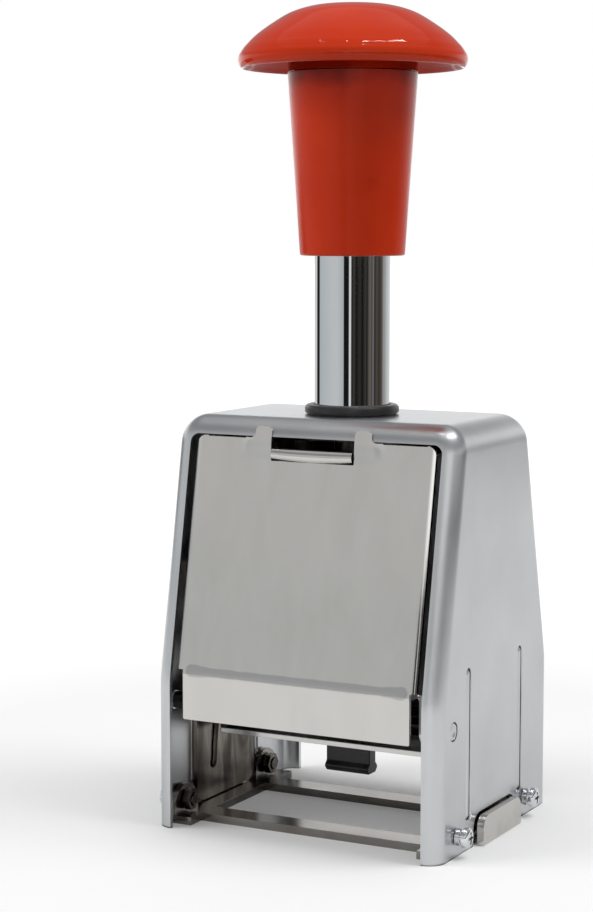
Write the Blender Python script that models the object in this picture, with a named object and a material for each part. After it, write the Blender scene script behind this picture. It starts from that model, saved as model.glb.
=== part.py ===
"""A self-inking numbering machine that turns its number wheels over between an ink pad and the paper.

Metres, +Z up, +X to the machine's right, +Y to its back. The origin is in the middle of the foot, on the
desk.
"""

import math

import bmesh
import bpy
from mathutils import Vector

# Clearances and cutting
GAP = 0.0003
BORE_GAP = 0.0002
RUN_GAP = 0.0005
OVERRUN = 0.002
SEAM = 0.0001
MERGE = 0.000001
LARGE_STEPS = 48
ROUND_STEPS = 32
SMALL_STEPS = 20
CORNER_STEPS = 5
CREASE_ANGLE = math.radians(32)

# Housing shell
BODY_WIDTH = 0.0686
BODY_HEIGHT = 0.09085
BODY_DEPTH = 0.0615
FRONT_LEAN = 0.01067
REAR_LEAN = 0.01327
FRONT_KINK = 0.0333
REAR_KINK = 0.0347
WALL = 0.001
SHOULDER = 0.006
EDGE = 0.004
GROOVE_WIDTH = 0.002
GROOVE_DEPTH = 0.0004
GROOVE_FOOT = 0.0068
GROOVE_HEAD = 0.039
FRONT_GROOVE_INSET = 0.01535
REAR_GROOVE_INSET = 0.01785

# Plunger, its tube, bush, grip and knob
PLUNGER_Y = -0.0024
STROKE = 0.027
TUBE_RADIUS = 0.00825
TUBE_WALL = 0.001
TUBE_RISE = 0.05915
PLUG_THICK = 0.0035
BUSH_FLANGE = 0.0104
BUSH_FLANGE_THICK = 0.00195
BUSH_WALL = 0.00095
BUSH_DROP = 0.00325
BUSH_ROUND = 0.0006
GRIP_LIFT = 0.03485
GRIP_LENGTH = 0.0396
GRIP_FOOT_RADIUS = 0.0115
GRIP_HEAD_RADIUS = 0.0142
GRIP_ROUND = 0.0005
KNOB_RADIUS = 0.0251
KNOB_HEIGHT = 0.0146
KNOB_BOSS_STEP = 0.0008
KNOB_SCREW_RADIUS = 0.0025
KNOB_SCREW_HEAD = 0.0038
KNOB_SCREW_HEAD_THICK = 0.002
KNOB_SCREW_BITE = 0.0065
DOME_SHARES = [(0, 1), (0.20, 0.99), (0.371, 0.959), (0.55, 0.863), (0.713, 0.699), (0.845, 0.534)]
DOME_SHARES += [(0.948, 0.356), (0.99, 0.26), (1, 0.2), (0.99, 0.13), (0.975, 0.062)]
UNDERSIDE_SHARES = [(0.95, 0.06), (0.91, 0.14), (0.83, 0.25), (0.70, 0.31)]

# Yoke that carries the number unit
YOKE_SHEET = 0.002
ARM_THICK = 0.0012
ARM_WIDTH = 0.016
ARM_EYE = 0.0062

# Guide post and return spring
POST_RADIUS = 0.004
POST_RISE = 0.0037
POST_COLLAR_RADIUS = 0.0066
POST_COLLAR_THICK = 0.001
POST_TENON_RADIUS = 0.0025
POST_ROD_RADIUS = 0.003
POST_ROD_LENGTH = 0.022
SPRING_RADIUS = 0.0052
SPRING_WIRE = 0.0012
SPRING_CURLS = 12
CURL_POINTS = 10

# Number unit, its axle, wheels and cranks
WHEEL_COUNT = 6
WHEEL_RADIUS = 0.010
WHEEL_PITCH = 0.0052
DIGIT_COUNT = 10
DIGIT_WIDTH = 0.0046
DIGIT_HEIGHT = 0.0009
PRESS_GAP = 0.0002
AXLE_RADIUS = 0.002
SPACER_RADIUS = 0.0034
UNIT_SHEET = 0.0015
UNIT_PLATE = 0.0012
UNIT_DEPTH = 0.017
CRANK_THICK = 0.001
CRANK_REACH = 0.0065
CRANK_EYE = 0.004
CRANK_TIP = 0.0024
CRANK_PIN_RADIUS = 0.0013
CAM_THICK = 0.001
CAM_SLOT = 0.0032
CAM_HEAD = 0.006
CAM_STEPS = 14

# Pawl bracket, pawl and detent comb
BRACKET_SHEET = 0.0012
BRACKET_EYE = 0.0036
BRACKET_PLATE = 0.0012
BRACKET_WIDTH = 0.0056
PAWL_REST_TILT = math.radians(-38)
PAWL_BARREL = 0.002
PAWL_PIN_RADIUS = 0.001
FINGER_THICK = 0.0012
FINGER_SHARE = 0.62
FINGER_LENGTH = 0.002
COMB_SHEET = 0.0008
COMB_REAR_Y = 0.0078
COMB_FRONT_Y = 0.0036
COMB_TIP_TILT = math.radians(24)

# Repeat selector
SELECTOR_WIDTH = 0.0108
SELECTOR_DEPTH = 0.0032
SELECTOR_DROP = 0.0071
SELECTOR_LIP = 0.0009
SELECTOR_LIP_HEIGHT = 0.0024
SELECTOR_STEM = 0.0022
SELECTOR_HEAD_DEPTH = 0.0046
SELECTOR_HEAD_THICK = 0.0007
SELECTOR_TRAVEL = 0.016

# Ink cassette, pad and the bridge that holds them
PAD_WIDTH = 0.033
PAD_DEPTH = 0.015
PAD_THICK = 0.0025
PAD_PROUD = 0.0015
PAD_ROUND = 0.0015
CASSETTE_ROOM = 0.0022
CASSETTE_HEIGHT = 0.0064
CASSETTE_FRONT = 0.0106
CASSETTE_REAR = 0.0313
CASSETTE_FLANGE = 0.0022
CASSETTE_FLANGE_THICK = 0.002
BRIDGE_SHEET = 0.002
BRIDGE_EAR = 0.007
BRIDGE_EAR_DROP = 0.007
BRIDGE_EAR_THICK = 0.0012
RAIL_SHEET = 0.0012

# Covers
COVER_ROOM = 0.0016
COVER_SHEET = 0.0008
COVER_FOOT = 0.0248
COVER_FLANGE_DEPTH = 0.005
FLANGE_PROUD = 0.0002
LOWER_INSET = 0.0012
LOWER_HEAD = 0.0358
BEAD_RADIUS = 0.0008
BEAD_HEIGHT = 0.0366
BEAD_INSET = 0.0025
TAB_INNER = 0.010
TAB_WIDTH = 0.004
TAB_ROOT = 0.0032
TAB_RISE = 0.0019
TAB_RAMP = 0.0012
NOTCH_WIDTH = 0.0188
NOTCH_DEPTH = 0.00255
LIP_WIDTH = 0.0172
LIP_HEIGHT = 0.0022
LIP_PROUD = 0.001
LIP_DROP = 0.0001
PIN_INSET = 0.00755
PIN_Z = 0.0272
PIN_ARM = 0.0145
PIN_RADIUS = 0.0019
PIN_EAR = 0.0034
PIN_SINK = 0.0003
PIN_DIMPLE_RADIUS = 0.0011
PIN_DIMPLE_DEPTH = 0.0005

# Base frame with its screws and nuts
BASE_SHEET = 0.0018
BASE_BORDER = 0.0055
FRONT_RAIL_Y = -0.019
REAR_RAIL_Y = 0.0108
RAIL_WIDTH = 0.006
EAR_RADIUS = 0.0051
EAR_THICK = 0.0014
EAR_TOP = 0.008
FRONT_SCREW_Y = -0.0216
REAR_SCREW_Y = 0.0156
SCREW_Z = 0.0045
SCREW_RADIUS = 0.0013
SCREW_SEAT_RADIUS = 0.0019
SCREW_SEAT_THICK = 0.0012
SCREW_NECK_RADIUS = 0.0015
SCREW_NECK_THICK = 0.0004
SCREW_HEAD_RADIUS = 0.0022
SCREW_HEAD_THICK = 0.0016
SCREW_HEAD_ROUND = 0.0006
NUT_RADIUS = 0.0025
NUT_THICK = 0.0016
FLAP_FRONT_Y = -0.0114
FLAP_REAR_Y = 0.0096
FLAP_TOP = 0.0064
FLAP_THICK = 0.0016
FLAP_OFFSET = 0.0004
FLAP_ROUND = 0.0026
ARCH_GAP = 0.0011
ARCH_LIFT = 0.0005

# Places that follow from the sizes, across the machine
WALL_IN = BODY_WIDTH / 2 - WALL
CAM_OUT = WALL_IN - GAP
CAM_IN = CAM_OUT - CAM_THICK
CRANK_OUT = CAM_IN - GAP
CRANK_IN = CRANK_OUT - CRANK_THICK
ARM_OUT = CRANK_IN - GAP
ARM_IN = ARM_OUT - ARM_THICK
UNIT_OUT = ARM_IN - GAP
UNIT_IN = UNIT_OUT - UNIT_SHEET
BRACKET_OUT = UNIT_IN - GAP
BRACKET_IN = BRACKET_OUT - BRACKET_SHEET
WHEELS_OUT = WHEEL_COUNT * WHEEL_PITCH / 2
FLANGE_OUT = BODY_WIDTH / 2 - EDGE - COVER_ROOM
FLANGE_IN = FLANGE_OUT - COVER_SHEET
COVER_HALF = FLANGE_OUT - FLANGE_PROUD
RAIL_OUT = ARM_IN - CASSETTE_ROOM
RAIL_IN = RAIL_OUT - RAIL_SHEET
CASSETTE_HALF = RAIL_IN - GAP
TRAY_HALF = CASSETTE_HALF - CASSETTE_FLANGE

# Places that follow from the sizes, from front to rear
PIN_Y = PIN_INSET - BODY_DEPTH / 2
FRONT_GROOVE_Y = FRONT_GROOVE_INSET - BODY_DEPTH / 2
REAR_GROOVE_Y = BODY_DEPTH / 2 - REAR_GROOVE_INSET

# Places that follow from the sizes, up the machine
AXLE_Z = WHEEL_RADIUS + PRESS_GAP + STROKE
PAD_Z = AXLE_Z + WHEEL_RADIUS + GAP
CASSETTE_Z = PAD_Z + PAD_PROUD
CASSETTE_TOP = CASSETTE_Z + CASSETTE_HEIGHT
BRIDGE_Z = CASSETTE_TOP + GAP
BRIDGE_TOP = BRIDGE_Z + BRIDGE_SHEET
YOKE_TOP = BODY_HEIGHT - BUSH_DROP - GAP
TUBE_FOOT = YOKE_TOP + GAP
TUBE_TOP = BODY_HEIGHT + TUBE_RISE
PLUG_Z = TUBE_TOP - PLUG_THICK
POST_TOP = YOKE_TOP + POST_RISE
COLLAR_TOP = POST_TOP + POST_COLLAR_THICK
GRIP_Z = BODY_HEIGHT + GRIP_LIFT
GRIP_TOP = GRIP_Z + GRIP_LENGTH
KNOB_Z = GRIP_TOP + GAP
COVER_TOP = BODY_HEIGHT - EDGE - GAP
NOTCH_FOOT = COVER_TOP - NOTCH_DEPTH
EAR_IN = WALL_IN - GAP - EAR_THICK
FLAP_IN = BODY_WIDTH / 2 + FLAP_OFFSET
FLAP_OUT = FLAP_IN + FLAP_THICK
SCREW_HOLE = SCREW_RADIUS + BORE_GAP
PIN_HOLE = PIN_RADIUS + BORE_GAP
AXLE_HOLE = AXLE_RADIUS + BORE_GAP
TUBE_BORE = TUBE_RADIUS - TUBE_WALL
BUSH_BORE = TUBE_RADIUS + GAP
TOP_HOLE = BUSH_BORE + BUSH_WALL + BORE_GAP

# Distances from the axle inside the number unit
PAWL_REACH = WHEEL_RADIUS + GAP + FINGER_LENGTH + PAWL_BARREL / 2
BRACKET_REACH = PAWL_REACH + PAWL_BARREL + GAP
PAWL_Y = PAWL_REACH * math.sin(PAWL_REST_TILT)
PAWL_Z = -PAWL_REACH * math.cos(PAWL_REST_TILT)
BRACKET_SWEEP = math.hypot(BRACKET_REACH + BRACKET_PLATE, BRACKET_WIDTH / 2)
UNIT_DROP = BRACKET_SWEEP + GAP + SELECTOR_HEAD_THICK + GAP + UNIT_PLATE
UNIT_HEAD = AXLE_Z - STROKE - BASE_SHEET - GAP

AXES = {"X": Vector((1, 0, 0)), "Y": Vector((0, 1, 0)), "Z": Vector((0, 0, 1))}


def clear_scene():
    """Removes what the startup scene holds."""
    for thing in list(bpy.data.objects):
        bpy.data.objects.remove(thing)


def finish(name, colour, roughness, metallic):
    """A plain Principled material."""
    made = bpy.data.materials.new(name)
    made.use_nodes = True
    shader = made.node_tree.nodes["Principled BSDF"]
    shader.inputs["Base Color"].default_value = (*colour, 1)
    shader.inputs["Roughness"].default_value = roughness
    shader.inputs["Metallic"].default_value = metallic
    return made


def pivot(name, place, parent=None):
    """An empty on a joint's axis, which carries the pieces that move about it."""
    made = bpy.data.objects.new(name, None)
    bpy.context.scene.collection.objects.link(made)
    made.location = place
    made.parent = parent
    return made


def place_shape(name, shape):
    """Turns a closed shape into an object whose faces point out."""
    bmesh.ops.recalc_face_normals(shape, faces=shape.faces)
    mesh = bpy.data.meshes.new(name)
    shape.to_mesh(mesh)
    shape.free()
    made = bpy.data.objects.new(name, mesh)
    bpy.context.scene.collection.objects.link(made)
    return made


def piece(name, shape, material, parent=None, place=(0, 0, 0)):
    """One solid piece of the machine."""
    made = place_shape(name, shape)
    made.data.materials.append(material)
    made.data.shade_smooth()
    made.data.set_sharp_from_angle(angle=CREASE_ANGLE)
    made.parent = parent
    made.location = place
    return made


def work(target, operation, name, shape):
    """Joins a hidden helper shape to a piece, cuts it out, or trims the piece to it."""
    helper = place_shape(name, shape)
    helper.hide_render = True
    helper.display_type = "WIRE"
    helper.parent = target
    modifier = target.modifiers.new(name, "BOOLEAN")
    modifier.operation = operation
    modifier.object = helper


def add_prism(shape, outline, axis, low, high):
    """Carries an outline, drawn across an axis, from low to high along it."""
    slot = "XYZ".index(axis)
    corners = []
    for first, second in outline:
        point = [first, second]
        point.insert(slot, low)
        corners.append(shape.verts.new(point))
    face = shape.faces.new(corners)
    grown = bmesh.ops.extrude_face_region(shape, geom=[face])
    ends = [item for item in grown["geom"] if isinstance(item, bmesh.types.BMVert)]
    bmesh.ops.translate(shape, verts=ends, vec=AXES[axis] * (high - low))
    return shape


def prism(outline, axis, low, high):
    """A new shape that holds one prism."""
    return add_prism(bmesh.new(), outline, axis, low, high)


def pair_of_prisms(outline, low, high):
    """The same outline carried along X on both sides of the machine."""
    shape = prism(outline, "X", low, high)
    return add_prism(shape, outline, "X", -high, -low)


def add_turned(shape, profile, axis="Z", centre=(0, 0, 0), steps=ROUND_STEPS):
    """Spins (radius, height) points round an axis through a centre."""
    along = AXES[axis]
    out = AXES["X" if axis == "Z" else "Y"]
    points = [shape.verts.new(Vector(centre) + out * radius + along * height) for radius, height in profile]
    edges = [shape.edges.new(ends) for ends in zip(points, points[1:])]
    turn = {"cent": centre, "axis": along, "angle": math.tau, "steps": steps, "use_merge": True}
    bmesh.ops.spin(shape, geom=points + edges, **turn)
    bmesh.ops.remove_doubles(shape, verts=shape.verts, dist=MERGE)
    return shape


def turned(profile, axis="Z", centre=(0, 0, 0), steps=ROUND_STEPS):
    """A new shape that holds one turned solid."""
    return add_turned(bmesh.new(), profile, axis, centre, steps)


def rod(radius, low, high):
    """Profile of a plain round bar."""
    return [(0, low), (radius, low), (radius, high), (0, high)]


def ring(inner, outer, low, high):
    """Profile of a plain round tube."""
    return [(inner, low), (outer, low), (outer, high), (inner, high), (inner, low)]


def arc(centre, radius, start, end, steps=CORNER_STEPS):
    """Points along an arc, with its angles in degrees."""
    angles = [math.radians(start + (end - start) * step / steps) for step in range(steps + 1)]
    return [(centre[0] + radius * math.cos(angle), centre[1] + radius * math.sin(angle)) for angle in angles]


def box(low, high):
    """Outline of a plain rectangle."""
    return [low, (high[0], low[1]), high, (low[0], high[1])]


def round_box(low, high, radius):
    """Outline of a rectangle with four round corners."""
    left, bottom = low[0] + radius, low[1] + radius
    right, top = high[0] - radius, high[1] - radius
    outline = arc((left, bottom), radius, 180, 270)
    outline += arc((right, bottom), radius, 270, 360)
    outline += arc((right, top), radius, 0, 90)
    return outline + arc((left, top), radius, 90, 180)


def round_topped(low, high, radius):
    """Outline of a rectangle whose two upper corners are round."""
    outline = [low, (high[0], low[1])]
    outline += arc((high[0] - radius, high[1] - radius), radius, 0, 90)
    return outline + arc((low[0] + radius, high[1] - radius), radius, 90, 180)


def rim(side, height):
    """Where the front (side -1) or rear (side 1) edge plane of the housing lies at a height."""
    lean, kink = (FRONT_LEAN, FRONT_KINK) if side < 0 else (REAR_LEAN, REAR_KINK)
    slope = lean / (BODY_HEIGHT - kink)
    return side * (BODY_DEPTH / 2 - slope * max(0, height - kink))


def housing_stations():
    """The inverted U of the sheet, as (x, z, inward x, inward z) from the left foot to the right one."""
    stations = [(-BODY_WIDTH / 2, height, 1, 0) for height in (0, FRONT_KINK, REAR_KINK)]
    centre_x = BODY_WIDTH / 2 - SHOULDER
    centre_z = BODY_HEIGHT - SHOULDER
    for side, start, end in ((-1, 180, 90), (1, 90, 0)):
        for x, z in arc((side * centre_x, centre_z), SHOULDER, start, end):
            inward_x = (side * centre_x - x) / SHOULDER
            inward_z = (centre_z - z) / SHOULDER
            stations.append((x, z, inward_x, inward_z))
    stations += [(BODY_WIDTH / 2, height, -1, 0) for height in (REAR_KINK, FRONT_KINK, 0)]
    return stations


def housing_section():
    """The sheet from edge to edge and back inside, as (side, depth inward, distance from the edge plane)."""
    outer = [(EDGE - x, EDGE - y) for x, y in arc((0, 0), EDGE, 0, 90)]
    inner = [(EDGE - x, EDGE - y) for x, y in arc((0, 0), EDGE - WALL, 0, 90)]
    section = [(-1, depth, back) for depth, back in reversed(outer)]
    section += [(1, depth, back) for depth, back in outer]
    section += [(1, depth, back) for depth, back in reversed(inner)]
    return section + [(-1, depth, back) for depth, back in inner]


def shell_shape():
    """The bent sheet, with its front and rear edges rolled inward."""
    shape = bmesh.new()
    loops = []
    for x, z, inward_x, inward_z in housing_stations():
        loop = []
        for side, depth, back in housing_section():
            height = z + inward_z * depth
            loop.append(shape.verts.new((x + inward_x * depth, rim(side, height) - side * back, height)))
        loops.append(loop)
    for loop, following in zip(loops, loops[1:]):
        for index in range(len(loop)):
            after = (index + 1) % len(loop)
            shape.faces.new((loop[index], loop[after], following[after], following[index]))
    shape.faces.new(loops[0])
    shape.faces.new(loops[-1])
    return shape


def shell_cuts():
    """Arches over the flaps, holes for the bush, the screws and the cover pins, and the grooves."""
    reach = BODY_WIDTH / 2 + OVERRUN
    low = (FLAP_FRONT_Y - ARCH_GAP, -OVERRUN)
    high = (FLAP_REAR_Y + ARCH_GAP, FLAP_TOP + ARCH_LIFT)
    cuts = prism(round_topped(low, high, FLAP_ROUND + ARCH_GAP), "X", -reach, reach)
    add_turned(cuts, rod(PIN_HOLE, -reach, reach), "X", (0, PIN_Y, PIN_Z), SMALL_STEPS)
    for y in (FRONT_SCREW_Y, REAR_SCREW_Y):
        add_turned(cuts, rod(SCREW_HOLE, -reach, reach), "X", (0, y, SCREW_Z), SMALL_STEPS)
    top_hole = rod(TOP_HOLE, BODY_HEIGHT - WALL - OVERRUN, BODY_HEIGHT + OVERRUN)
    add_turned(cuts, top_hole, "Z", (0, PLUNGER_Y, 0), LARGE_STEPS)
    for y in (FRONT_GROOVE_Y, REAR_GROOVE_Y):
        half = GROOVE_WIDTH / 2
        outline = round_box((y - half, GROOVE_FOOT), (y + half, GROOVE_HEAD), half)
        add_prism(cuts, outline, "X", BODY_WIDTH / 2 - GROOVE_DEPTH, reach)
        add_prism(cuts, outline, "X", -reach, GROOVE_DEPTH - BODY_WIDTH / 2)
    return cuts


def build_housing(steel):
    """The satin shell that everything else is fixed in."""
    shell = piece("housing_shell", shell_shape(), steel)
    work(shell, "DIFFERENCE", "shell_cuts", shell_cuts())


def strip_outline(side, low, high):
    """A cover's sheet, seen from the side, just inside the edge plane of the housing."""
    kink = FRONT_KINK if side < 0 else REAR_KINK
    heights = (low, kink, high)
    outline = [(rim(side, z) - side * GAP, z) for z in heights]
    return outline + [(rim(side, z) - side * (GAP + COVER_SHEET), z) for z in reversed(heights)]


def cover_middle(side, height):
    """The middle of a cover's sheet at a height."""
    return rim(side, height) - side * (GAP + COVER_SHEET / 2)


def trim_outline():
    """A cover seen from the front: narrower below the bead, with two round upper corners."""
    narrow = COVER_HALF - LOWER_INSET
    corner = SHOULDER - EDGE
    half = [(narrow, COVER_FOOT), (narrow, LOWER_HEAD), (COVER_HALF, LOWER_HEAD)]
    half += arc((COVER_HALF - corner, COVER_TOP - corner), corner, 0, 90)
    return half + [(-x, z) for x, z in reversed(half)]


def cover_sheet(name, side, steel, parent=None, origin=(0, 0)):
    """A cover's bent sheet, cut to its outline."""
    strip = strip_outline(side, COVER_FOOT - OVERRUN, COVER_TOP + OVERRUN)
    wide = COVER_HALF + OVERRUN
    cover = piece(name, prism(moved(strip, origin), "X", -wide, wide), steel, parent)
    outside = side * (BODY_DEPTH / 2 + OVERRUN) - origin[0]
    inside = rim(side, BODY_HEIGHT) - side * COVER_FLANGE_DEPTH - origin[0]
    outline = [(x, z - origin[1]) for x, z in trim_outline()]
    trim = prism(outline, "Y", min(outside, inside), max(outside, inside))
    work(cover, "INTERSECT", f"{name}_trim", trim)
    return cover


def moved(outline, origin):
    """An outline as measured from another origin."""
    return [(first - origin[0], second - origin[1]) for first, second in outline]


def front_flange_outline():
    """A side flange of the front cover, which runs down and back to an ear round the hinge pin."""
    top = BODY_HEIGHT - SHOULDER
    elbow = PIN_Z + PIN_ARM
    outline = [(cover_middle(-1, LOWER_HEAD), LOWER_HEAD), (cover_middle(-1, top), top)]
    outline += [(cover_middle(-1, top) + COVER_FLANGE_DEPTH, top)]
    outline += [(cover_middle(-1, elbow) + COVER_FLANGE_DEPTH, elbow)]
    return outline + arc((PIN_Y, PIN_Z), PIN_EAR, 30, -180, SMALL_STEPS // 2)


def tab_outline():
    """A tongue at the cover's head, which steps out of the sheet and snaps over the housing's edge."""
    root = COVER_TOP - TAB_ROOT
    ramp = COVER_TOP - TAB_RAMP
    tip = COVER_TOP + TAB_RISE
    back = [(cover_middle(-1, root), root), (rim(-1, COVER_TOP) - GAP, COVER_TOP), (rim(-1, tip) - GAP, tip)]
    reach = GAP + COVER_SHEET
    front = [(rim(-1, tip) - reach, tip), (rim(-1, ramp) - reach, ramp)]
    return back + front + [(cover_middle(-1, root) - COVER_SHEET / 4, root)]


def lip_outline():
    """The curled lip under the window notch."""
    low = NOTCH_FOOT - LIP_HEIGHT
    middle = (low + NOTCH_FOOT) / 2
    face = rim(-1, middle) + GAP - LIP_PROUD
    outline = [(cover_middle(-1, low), low), (cover_middle(-1, NOTCH_FOOT), NOTCH_FOOT - LIP_DROP)]
    return outline + [(face, middle + LIP_HEIGHT / 4), (face, middle - LIP_HEIGHT / 4)]


def build_front_cover(steel, hinge):
    """The polished cover that swings down on its two pins to reach the number wheels."""
    pin = (PIN_Y, PIN_Z)
    cover = cover_sheet("front_cover", -1, steel, hinge, pin)
    flanges = pair_of_prisms(moved(front_flange_outline(), pin), FLANGE_IN, FLANGE_OUT)
    work(cover, "UNION", "cover_flanges", flanges)
    bead_place = (0, rim(-1, BEAD_HEIGHT) + GAP - PIN_Y, BEAD_HEIGHT - PIN_Z)
    bead = rod(BEAD_RADIUS, BEAD_INSET - COVER_HALF, COVER_HALF - BEAD_INSET)
    work(cover, "UNION", "cover_bead", turned(bead, "X", bead_place, SMALL_STEPS // 2))
    tabs = pair_of_prisms(moved(tab_outline(), pin), TAB_INNER, TAB_INNER + TAB_WIDTH)
    work(cover, "UNION", "cover_tabs", tabs)
    lip = prism(moved(lip_outline(), pin), "X", -LIP_WIDTH / 2, LIP_WIDTH / 2)
    work(cover, "UNION", "cover_lip", lip)
    notch = box((-NOTCH_WIDTH / 2, NOTCH_FOOT - PIN_Z), (NOTCH_WIDTH / 2, COVER_TOP + OVERRUN - PIN_Z))
    notch_front = rim(-1, NOTCH_FOOT) - OVERRUN - PIN_Y
    notch_back = rim(-1, COVER_TOP) + OVERRUN - PIN_Y
    work(cover, "DIFFERENCE", "cover_notch", prism(notch, "Y", notch_front, notch_back))
    ear_hole = rod(PIN_HOLE, -FLANGE_OUT - OVERRUN, FLANGE_OUT + OVERRUN)
    work(cover, "DIFFERENCE", "cover_pin_holes", turned(ear_hole, "X", (0, 0, 0), SMALL_STEPS))


def build_rear_cover(steel):
    """The fixed cover at the back, with the slot that the ink cassette slides out of."""
    cover = cover_sheet("rear_cover", 1, steel)
    top = BODY_HEIGHT - SHOULDER
    flange = [(cover_middle(1, LOWER_HEAD), LOWER_HEAD), (cover_middle(1, top), top)]
    flange += [(cover_middle(1, top) - COVER_FLANGE_DEPTH, top)]
    flange += [(cover_middle(1, LOWER_HEAD) - COVER_FLANGE_DEPTH, LOWER_HEAD)]
    work(cover, "UNION", "rear_flanges", pair_of_prisms(flange, FLANGE_IN, FLANGE_OUT))
    reach = CASSETTE_HALF + RUN_GAP
    slot = box((-reach, PAD_Z - RUN_GAP), (reach, CASSETTE_TOP + RUN_GAP))
    slot_front = rim(1, CASSETTE_TOP) - COVER_FLANGE_DEPTH
    work(cover, "DIFFERENCE", "rear_slot", prism(slot, "Y", slot_front, rim(1, 0) + OVERRUN))


def build_cover_pins(steel):
    """A short pin at each side, with a dimpled end set just under the wall's face."""
    end = BODY_WIDTH / 2 - PIN_SINK
    floor = end - PIN_DIMPLE_DEPTH
    profile = [(0, FLANGE_IN), (PIN_RADIUS, FLANGE_IN), (PIN_RADIUS, end)]
    profile += [(PIN_DIMPLE_RADIUS, end), (0, floor)]
    for side, name in ((-1, "cover_pin_left"), (1, "cover_pin_right")):
        mirrored = [(radius, side * x) for radius, x in profile]
        piece(name, turned(mirrored, "X", steps=SMALL_STEPS), steel, place=(0, PIN_Y, PIN_Z))


def base_outline():
    """The base frame's plate from above, with a step out under each flap."""
    outer = WALL_IN - GAP
    inner = outer - BASE_BORDER
    front = FRONT_SCREW_Y - EAR_RADIUS
    rear = REAR_SCREW_Y + EAR_RADIUS
    step = FLAP_OUT - SEAM
    step_front, step_rear = FLAP_FRONT_Y + SEAM, FLAP_REAR_Y - SEAM
    half = [(inner, FRONT_RAIL_Y - RAIL_WIDTH / 2), (inner, front), (outer, front), (outer, step_front)]
    half += [(step, step_front), (step, step_rear), (outer, step_rear)]
    half += [(outer, rear), (inner, rear), (inner, REAR_RAIL_Y + RAIL_WIDTH / 2)]
    return half + [(-x, y) for x, y in reversed(half)]


def build_base_frame(steel):
    """The polished frame in the foot: two rails, ears for the screws, and a flap outside each arch."""
    frame = piece("base_frame", prism(base_outline(), "Z", 0, BASE_SHEET), steel)
    inner = WALL_IN - GAP - BASE_BORDER
    window = box((-inner, FRONT_RAIL_Y + RAIL_WIDTH / 2), (inner, REAR_RAIL_Y - RAIL_WIDTH / 2))
    work(frame, "DIFFERENCE", "base_window", prism(window, "Z", -OVERRUN, BASE_SHEET + OVERRUN))
    ears = bmesh.new()
    half = EAR_RADIUS - SEAM
    for y in (FRONT_SCREW_Y, REAR_SCREW_Y):
        outline = round_topped((y - half, SEAM), (y + half, EAR_TOP), half)
        add_prism(ears, outline, "X", EAR_IN, WALL_IN - GAP - SEAM)
        add_prism(ears, outline, "X", GAP + SEAM - WALL_IN, -EAR_IN)
    work(frame, "UNION", "base_ears", ears)
    flap = round_topped((FLAP_FRONT_Y, SEAM), (FLAP_REAR_Y, FLAP_TOP), FLAP_ROUND)
    work(frame, "UNION", "base_flaps", pair_of_prisms(flap, FLAP_IN, FLAP_OUT))
    reach = WALL_IN + OVERRUN
    holes = turned(rod(SCREW_HOLE, -reach, reach), "X", (0, FRONT_SCREW_Y, SCREW_Z), SMALL_STEPS)
    add_turned(holes, rod(SCREW_HOLE, -reach, reach), "X", (0, REAR_SCREW_Y, SCREW_Z), SMALL_STEPS)
    work(frame, "DIFFERENCE", "base_screw_holes", holes)


def screw_profile():
    """A shouldered screw from its inner end to its head, as (radius, x)."""
    start = EAR_IN - GAP - NUT_THICK - GAP
    seat = BODY_WIDTH / 2 + GAP
    neck = seat + SCREW_SEAT_THICK
    head = neck + SCREW_NECK_THICK
    end = head + SCREW_HEAD_THICK
    profile = [(0, start), (SCREW_RADIUS, start), (SCREW_RADIUS, seat), (SCREW_SEAT_RADIUS, seat)]
    profile += [(SCREW_SEAT_RADIUS, neck), (SCREW_NECK_RADIUS, neck), (SCREW_NECK_RADIUS, head)]
    profile += [(SCREW_HEAD_RADIUS, head), (SCREW_HEAD_RADIUS, end - SCREW_HEAD_ROUND)]
    return profile + [(SCREW_HEAD_RADIUS - SCREW_HEAD_ROUND, end), (0, end)]


def ring_prism(outline, bore, low, high):
    """Carries an outline round the X axis from low to high, with a round bore through it."""
    shape = bmesh.new()
    holes = [(bore * y / math.hypot(y, z), bore * z / math.hypot(y, z)) for y, z in outline]
    loops = [(outline, low), (outline, high), (holes, high), (holes, low)]
    rings = [[shape.verts.new((x, y, z)) for y, z in points] for points, x in loops]
    for ring_points, following in zip(rings, rings[1:] + rings[:1]):
        for index in range(len(outline)):
            after = (index + 1) % len(outline)
            shape.faces.new((ring_points[index], ring_points[after], following[after], following[index]))
    return shape


def hexagon(radius, steps_per_side=3):
    """A hexagon's outline, with points along its sides for the bore to follow."""
    corners = arc((0, 0), radius, 0, 360, 6)
    outline = []
    for start, end in zip(corners, corners[1:]):
        for step in range(steps_per_side):
            share = step / steps_per_side
            outline.append((start[0] + (end[0] - start[0]) * share, start[1] + (end[1] - start[1]) * share))
    return outline


def build_base_screws(chrome):
    """A screw and a nut through each ear of the base frame."""
    nut_low = EAR_IN - GAP - NUT_THICK
    for side, where in ((-1, "left"), (1, "right")):
        for y, which in ((FRONT_SCREW_Y, "front"), (REAR_SCREW_Y, "rear")):
            profile = [(radius, side * x) for radius, x in screw_profile()]
            screw = turned(profile, "X", steps=SMALL_STEPS)
            piece(f"base_screw_{which}_{where}", screw, chrome, place=(0, y, SCREW_Z))
            low, high = sorted((side * nut_low, side * (nut_low + NUT_THICK)))
            nut = ring_prism(hexagon(NUT_RADIUS), SCREW_HOLE, low, high)
            piece(f"base_nut_{which}_{where}", nut, chrome, place=(0, y, SCREW_Z))


def cam_point(share):
    """Centre of the crank pin when the plunger is down by a share of its stroke."""
    turn = math.pi * share
    return PLUNGER_Y + CRANK_REACH * math.cos(turn), AXLE_Z - STROKE * share + CRANK_REACH * math.sin(turn)


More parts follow.
